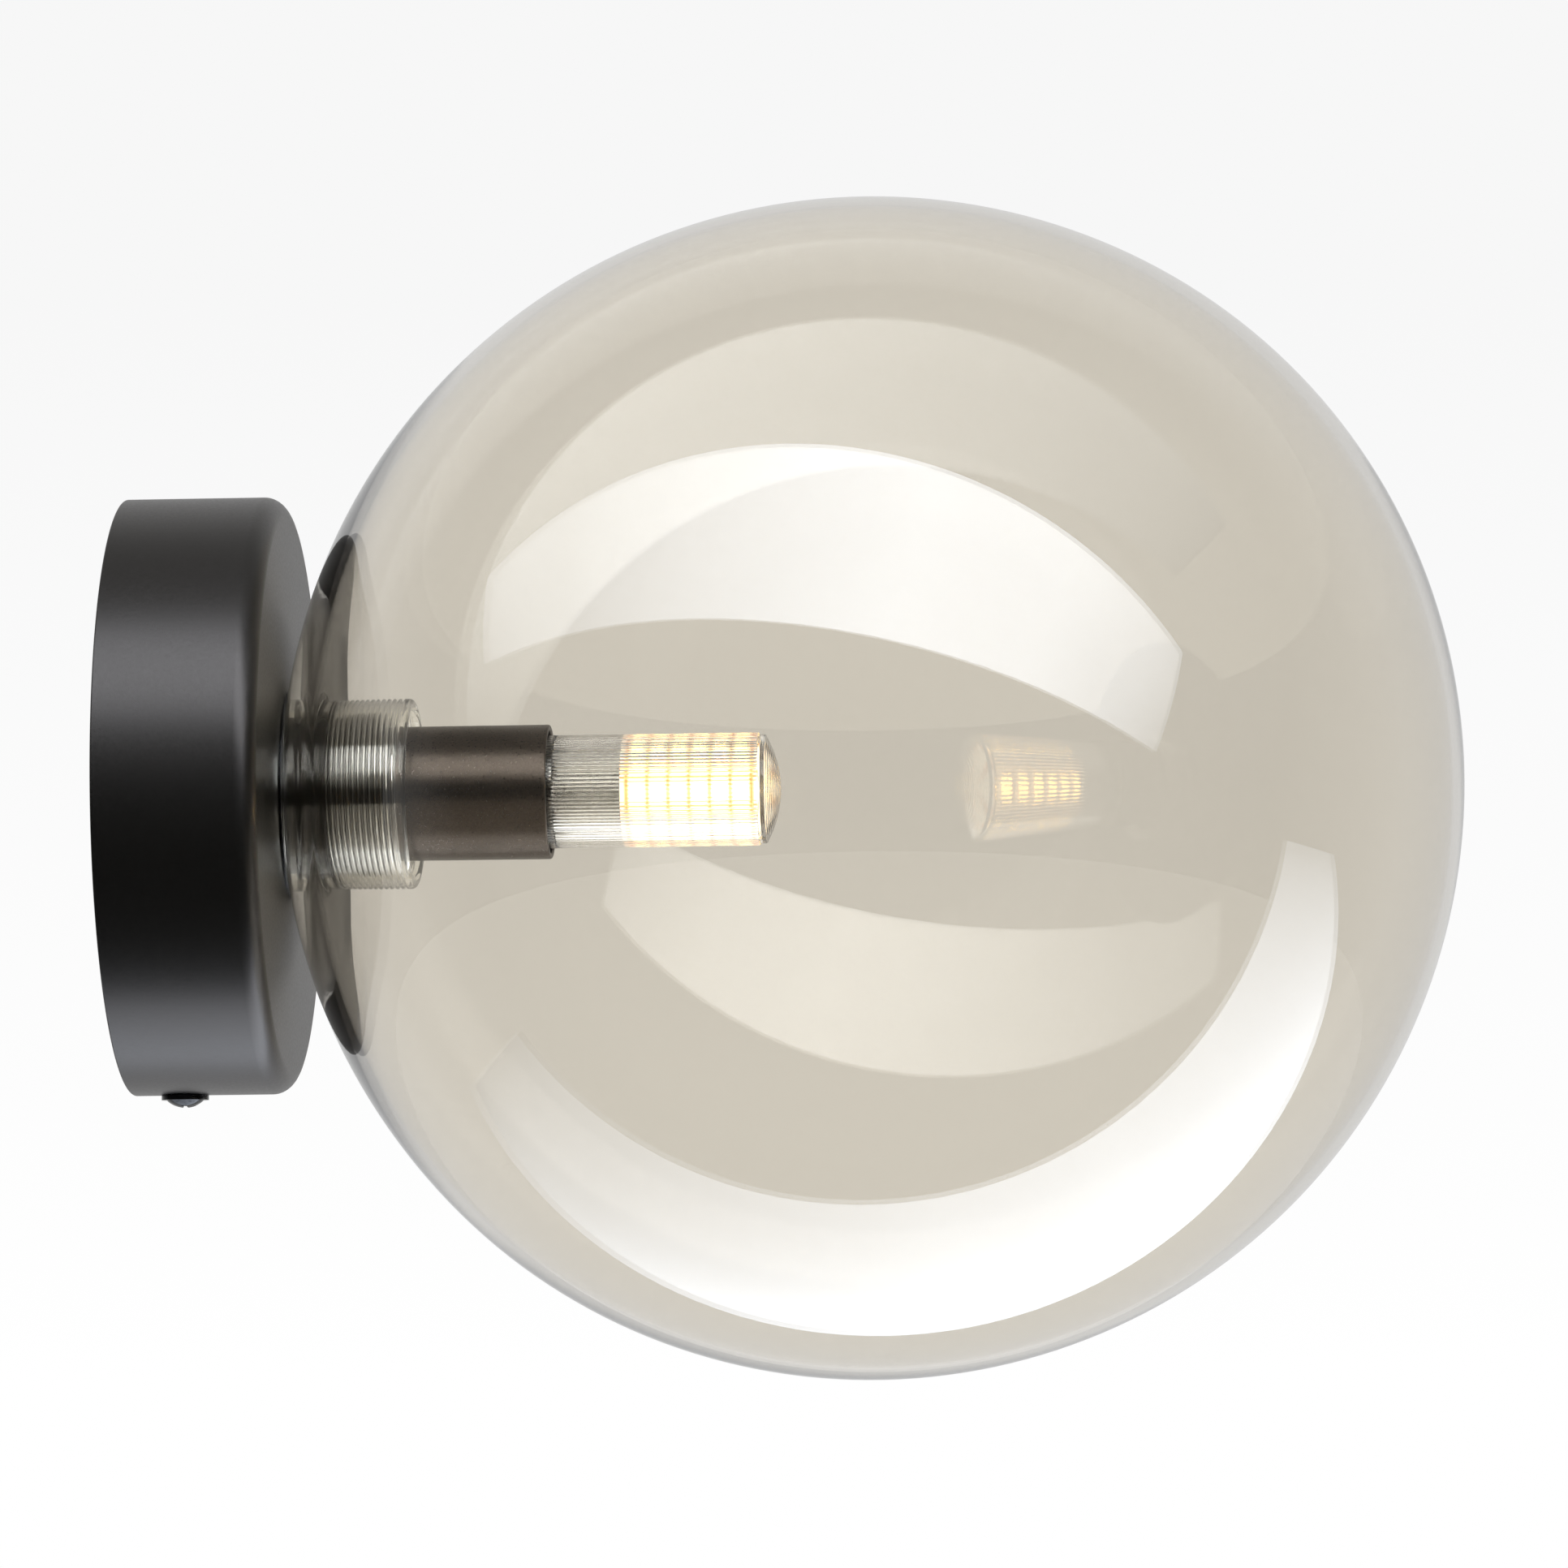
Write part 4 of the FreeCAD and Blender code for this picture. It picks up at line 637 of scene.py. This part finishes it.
def make_lamp_cover():
    """Clear cover: a plain ring at the back, round ribs along it, and a slightly domed, ringed end."""
    bore = cover_radius - COVER_WALL
    crest = cover_radius - RIB_DROP
    end_radius = cover_radius - COVER_END_STEP
    rise = cover_tip - COVER_BAND_END
    dome_radius = (end_radius ** 2 + rise ** 2) / (2 * rise)
    dome_angle = math.asin(end_radius / dome_radius)
    hollow_angle = math.asin(bore / (dome_radius - COVER_WALL))
    centre = cover_tip - dome_radius
    ribs_end = COVER_BAND_END - COVER_PLAIN_BAND
    dome_steps = round(dome_radius * dome_angle / (DOME_RING_PITCH / DOME_RING_STEPS))

    outline = [Vector((cover_back, bore)), Vector((cover_back, cover_radius)),
               Vector((COVER_RING_END - COVER_SLOPE, cover_radius)), Vector((COVER_RING_END, crest))]
    for step in range(1, RIB_STEPS + 1):
        outline.append(Vector((COVER_RING_END + (ribs_end - COVER_RING_END) * step / RIB_STEPS, crest)))
    outline.append(Vector((ribs_end + COVER_SLOPE, end_radius)))
    outline += arc(centre, dome_radius, math.pi - dome_angle, math.pi, dome_steps)
    outline += arc(centre, dome_radius - COVER_WALL, math.pi, math.pi - hollow_angle, DOME_INSIDE_STEPS)

    def ribbed(x, r, angle):
        """Presses the ribs into the side and fine rings into the dome."""
        if abs(r - crest) < TOUCH and x >= COVER_RING_END - TOUCH:
            return x, crest - RIB_DEPTH * (1 - abs(math.sin(RIB_COUNT * angle / 2)))
        if x > COVER_BAND_END and math.hypot(x - centre, r) > dome_radius - COVER_WALL / 2:
            wave = math.cos(FULL_TURN * r / DOME_RING_PITCH)
            return x - DOME_RING_HEIGHT * (1 - wave) * fade(end_radius - r, 0, DOME_RING_PITCH), r
        return x, r

    mesh = turned_mesh("ribbed_cover", outline, RIB_COUNT * RIB_SIDES, ribbed)
    mesh.set_sharp_from_angle(angle=COVER_CREASE)
    add_piece("ribbed_cover", mesh, "lamp", "clear_cover", ["lamp_cover"], clear_cover)


def make_light_chips():
    """The lamp's chips on all its faces, each a pale frame round a raised phosphor pad."""
    mesh = bpy.data.meshes.new("light_chips")
    work = bmesh.new()
    for face in range(LED_FACES):
        turn = Matrix.Rotation(LED_FACE_TURN + FULL_TURN * face / LED_FACES, 4, "X")
        for number in range(LEDS_PER_FACE):
            middle = led_first + led_pitch * number
            for index, (inset, bottom, top) in enumerate(CHIP_LAYERS):
                size = Vector((CHIP_LENGTH - 2 * inset, CHIP_HEIGHT * (top - bottom),
                               CHIP_WIDTH - 2 * inset))
                height = LED_FACE_DISTANCE + CHIP_HEIGHT * (top + bottom) / 2
                place = turn @ Matrix.Translation((middle, -height, 0)) @ Matrix.Diagonal((*size, 1))
                made = bmesh.ops.create_cube(work, size=1, matrix=place)
                edges = list({edge for vert in made["verts"] for edge in vert.link_edges})
                faces = list({one for vert in made["verts"] for one in vert.link_faces})
                for one in faces:
                    one.material_index = index
                bmesh.ops.bevel(work, geom=edges, offset=CHIP_EDGE, segments=CHIP_EDGE_STEPS,
                                affect="EDGES")
    work.to_mesh(mesh)
    work.free()
    mesh.shade_smooth()
    piece = add_piece("light_chips", mesh, "lamp", "light_chip", ["led_chips"], chip_frame_painted_glow, phosphor)
    weigh_normals(piece)


# ---------------------------------------------------------------- studio
PANEL_GLOW = 7.3
PANEL_LIGHT = "#eaf2ff"

# Places and directions in the frame. Outlines and levels run along each panel, in millimetres.
LOW_PANEL_PLACE = Vector((585, 126, -379)) * MM
LOW_PANEL_AXIS = Vector((0.994, -0.006, 0.113))
LOW_PANEL_FACING = Vector((0, 0, 1))
LOW_PANEL_OUTLINE = ((-1230, -185), (1207, -200), (1207, 200), (-400, 190), (-1230, 170))
LOW_PANEL_LEVELS = ((-1230, 0.08), (-800, 0.3), (-400, 0.64), (-200, 0.7), (0, 0.66), (600, 0.38),
                    (1207, 0.16))
HIGH_PANEL_PLACE = Vector((24, -673, 600)) * MM
HIGH_PANEL_AXIS = Vector((0.974, -0.159, -0.159))
HIGH_PANEL_FACING = Vector((0, 0.707, -0.707))
HIGH_PANEL_OUTLINE = ((-2000, -295), (1570, -295), (1980, 282), (-2300, 282))
HIGH_PANEL_LEVELS = ((-2300, 0.17), (-1000, 0.34), (-500, 0.56), (0, 0.84), (250, 0.95), (500, 0.9),
                     (750, 0.85), (1000, 0.7), (1980, 0.22))

# Lengths and widths in metres.
LOW_LAMP_SIZE = (2.4, 0.37)
LOW_LAMP_LEVEL = 0.6
HIGH_LAMP_SIZE = (3.3, 0.565)
HIGH_LAMP_LEVEL = 1.0

# The white sweep dims a little upwards. The room grows lighter from front to back and towards the
# ceiling. Each range is of one part of the direction of sight, from -1 to 1.
BACKDROP_TOP = 0.93
BACKDROP_RANGE = (0.0, 0.15)
FRONT_LEVEL = 0.05
BACK_LEVEL = 0.7
DEPTH_RANGE = (-0.1, 0.6)
CEILING_LEVEL = 0.45
HEIGHT_RANGE = (-0.1, 0.8)

# Light paths count whole steps, so a half sits safely between two of them.
FIRST_MIRROR = 0.5
TWO_WALLS = 2.5

# The floor's place and radius are in metres, its grain and the grain's height in millimetres.
FLOOR_PLACE = (0.1, 0, -1.2)
FLOOR_RADIUS = 4.0
FLOOR_SIDES = 96
FLOOR_GRAIN = 40.0
FLOOR_GRAIN_HEIGHT = 0.1
FLOOR_ROUGHNESS = 0.8
FLOOR_GLOW = 0.55

# The lens and the sensor are in millimetres, as for a real camera, and the reach in metres.
CAMERA_PLACE = Vector((169.57, -1189.01, -97.13)) * MM
CAMERA_TURN = math.radians(2.9)
CAMERA_TILT = math.radians(4.7)
CAMERA_ROLL = math.radians(0.6)
CAMERA_LENS = 164.2
CAMERA_SENSOR = 36.0
CAMERA_REACH = 50.0

# The last value lets the lamp's mirror image in the glass come out bright, and holds back stray dots.
MOST_BOUNCES = 24
MIRROR_BOUNCES = 12
BRIGHTEST_BOUNCE = 40.0


def softbox(name, centre, long_axis, facing, outline, levels):
    """A lit panel that shows only in reflections, and lights nothing by itself.

    The outline's corners run along and across the panel, in millimetres from its centre.
    The levels say how bright it is, from 0 to 1, at places along it.
    """
    along = long_axis.normalized()
    across = facing.cross(long_axis).normalized()
    start, end = levels[0][0], levels[-1][0]

    material, tree = new_material(name)
    place = node(tree, "TexCoord")
    reach = node(tree, "VectorMath", {0: place.outputs["Object"], 1: along}, operation="DOT_PRODUCT")
    share = node(tree, "MapRange", {"Value": reach.outputs["Value"], "From Min": start * MM,
                                    "From Max": end * MM})
    ramp = node(tree, "ValToRGB", {0: share.outputs[0]})
    stops = ramp.color_ramp.elements
    while len(stops) < len(levels):
        stops.new(0.5)
    for stop, (place_along, level) in zip(stops, levels):
        stop.position = (place_along - start) / (end - start)
        stop.color = [level * channel for channel in colour(PANEL_LIGHT)[:3]] + [1.0]
    path = node(tree, "LightPath")
    seen = node(tree, "Math", {0: path.outputs["Glossy Depth"], 1: FIRST_MIRROR}, operation="GREATER_THAN")
    glow = node(tree, "Emission", {"Color": ramp.outputs[0], "Strength": PANEL_GLOW})
    clear = node(tree, "BsdfTransparent")
    mixed = node(tree, "MixShader", {0: seen.outputs[0], 1: clear.outputs[0], 2: glow.outputs[0]})
    finish_material(tree, mixed)
    material.cycles.emission_sampling = "NONE"

    mesh = bpy.data.meshes.new(name)
    corners = [(along * a + across * b) * MM for a, b in outline]
    mesh.from_pydata(corners, [], [tuple(range(len(corners)))])
    mesh.materials.append(material)
    panel = bpy.data.objects.new(name, mesh)
    panel.location = centre
    bpy.context.scene.collection.objects.link(panel)
    panel.visible_camera = False
    panel.visible_diffuse = False
    panel.visible_shadow = False


def soft_lamp(name, centre, facing, size, level):
    """A soft lamp, as bright all over as its level, that lights plain surfaces and isn't seen itself."""
    length, width = size
    light = bpy.data.lights.new(name, "AREA")
    light.shape = "RECTANGLE"
    light.size = length
    light.size_y = width
    light.energy = level * math.pi * length * width
    lamp = bpy.data.objects.new(name, light)
    lamp.location = centre
    lamp.rotation_mode = "QUATERNION"
    lamp.rotation_quaternion = facing.to_track_quat("-Z", "Y")
    bpy.context.scene.collection.objects.link(lamp)
    lamp.visible_camera = False
    lamp.visible_glossy = False
    lamp.visible_transmission = False


def make_lights():
    """One long panel below and one above and in front, each with a soft lamp in its place."""
    softbox("low_panel", LOW_PANEL_PLACE, LOW_PANEL_AXIS, LOW_PANEL_FACING, LOW_PANEL_OUTLINE,
            LOW_PANEL_LEVELS)
    softbox("high_panel", HIGH_PANEL_PLACE, HIGH_PANEL_AXIS, HIGH_PANEL_FACING, HIGH_PANEL_OUTLINE,
            HIGH_PANEL_LEVELS)
    soft_lamp("low_lamp", LOW_PANEL_PLACE, LOW_PANEL_FACING, LOW_LAMP_SIZE, LOW_LAMP_LEVEL)
    soft_lamp("high_lamp", HIGH_PANEL_PLACE, HIGH_PANEL_FACING, HIGH_LAMP_SIZE, HIGH_LAMP_LEVEL)


def make_world():
    """White sweep wherever the eye looks straight or through the glass, and a dim room in reflections.

    Light that crosses the wall only once, along its edge, has turned far aside and shows the room too.
    """
    world = bpy.data.worlds.new("studio")
    bpy.context.scene.world = world
    world.use_nodes = True
    tree = world.node_tree
    tree.nodes.clear()
    place = node(tree, "TexCoord")
    parts = node(tree, "SeparateXYZ", {0: place.outputs["Generated"]})
    sweep = node(tree, "MapRange", {
        "Value": parts.outputs["Z"], "From Min": BACKDROP_RANGE[0], "From Max": BACKDROP_RANGE[1],
        "To Min": 1.0, "To Max": BACKDROP_TOP})
    depth = node(tree, "MapRange", {
        "Value": parts.outputs["Y"], "From Min": DEPTH_RANGE[0], "From Max": DEPTH_RANGE[1],
        "To Min": FRONT_LEVEL, "To Max": BACK_LEVEL})
    height = node(tree, "MapRange", {
        "Value": parts.outputs["Z"], "From Min": HEIGHT_RANGE[0], "From Max": HEIGHT_RANGE[1],
        "To Min": 0.0, "To Max": CEILING_LEVEL})
    room = node(tree, "Math", {0: depth.outputs[0], 1: height.outputs[0]}, operation="MAXIMUM")
    path = node(tree, "LightPath")
    through = node(tree, "Math", {0: path.outputs["Transmission Depth"], 1: TWO_WALLS},
                   operation="GREATER_THAN")
    straight = node(tree, "Math", {0: path.outputs["Is Camera Ray"], 1: through.outputs[0]},
                    operation="MAXIMUM")
    unmirrored = node(tree, "Math", {0: path.outputs["Glossy Depth"], 1: FIRST_MIRROR},
                      operation="LESS_THAN")
    seen = node(tree, "Math", {0: straight.outputs[0], 1: unmirrored.outputs[0]}, operation="MULTIPLY")
    backdrop = node(tree, "Background", {"Strength": sweep.outputs[0], "Color": (1, 1, 1, 1)})
    studio = node(tree, "Background", {"Strength": room.outputs[0], "Color": (1, 1, 1, 1)})
    mixed = node(tree, "MixShader", {0: seen.outputs[0], 1: studio.outputs[0], 2: backdrop.outputs[0]})
    node(tree, "OutputWorld", {"Surface": mixed.outputs[0]})


def floor_finish():
    """Matt white paint on a studio floor, kept pale by a glow seen only straight on or through glass."""
    material, tree = new_material("pale_floor")
    bump, noise = skin(tree, FLOOR_GRAIN, FLOOR_GRAIN_HEIGHT)
    path = node(tree, "LightPath")
    straight = node(tree, "Math", {0: path.outputs["Is Camera Ray"],
                                   1: path.outputs["Is Transmission Ray"]}, operation="MAXIMUM")
    glow = node(tree, "Math", {0: straight.outputs[0], 1: FLOOR_GLOW}, operation="MULTIPLY")
    shader = node(tree, "BsdfPrincipled", {
        "Base Color": blend(tree, noise, colour("#e9e8e6"), colour("#efeeec")),
        "Roughness": FLOOR_ROUGHNESS, "Emission Color": colour("#ffffff"),
        "Emission Strength": glow.outputs[0], "Normal": bump})
    finish_material(tree, shader)
    return material


def make_floor():
    """Plain pale floor, well below the sconce."""
    mesh = bpy.data.meshes.new("floor")
    work = bmesh.new()
    bmesh.ops.create_circle(work, cap_ends=True, segments=FLOOR_SIDES, radius=FLOOR_RADIUS,
                            matrix=Matrix.Translation(FLOOR_PLACE))
    work.to_mesh(mesh)
    work.free()
    mesh.materials.append(floor_finish())
    floor = bpy.data.objects.new("floor", mesh)
    bpy.context.scene.collection.objects.link(floor)
    floor.visible_glossy = False


def make_camera():
    """The photograph's place: a long lens 1.2 m away, a little below the lamp's axis."""
    data = bpy.data.cameras.new("camera")
    data.lens = CAMERA_LENS
    data.sensor_width = CAMERA_SENSOR
    data.clip_end = CAMERA_REACH
    camera = bpy.data.objects.new("camera", data)
    bpy.context.scene.collection.objects.link(camera)
    camera.matrix_world = (Matrix.Translation(CAMERA_PLACE) @ Matrix.Rotation(CAMERA_TURN, 4, "Z")
                           @ Matrix.Rotation(math.pi / 2 + CAMERA_TILT, 4, "X")
                           @ Matrix.Rotation(-CAMERA_ROLL, 4, "Z"))
    bpy.context.scene.camera = camera


def set_render():
    """Plain colours, and enough bounces for light to cross the shell, the cover and the neck."""
    scene = bpy.context.scene
    scene.view_settings.view_transform = "Standard"
    scene.cycles.max_bounces = MOST_BOUNCES
    scene.cycles.transmission_bounces = MOST_BOUNCES
    scene.cycles.glossy_bounces = MIRROR_BOUNCES
    scene.cycles.transparent_max_bounces = MOST_BOUNCES
    scene.cycles.sample_clamp_indirect = BRIGHTEST_BOUNCE
    scene.cycles.caustics_reflective = False
    scene.cycles.caustics_refractive = False


dress_nodes()
make_canopy()
make_sleeve()
make_carrier()
make_globe()
make_lamp_cover()
make_light_chips()
make_lights()
make_world()
make_floor()
make_camera()
set_render()
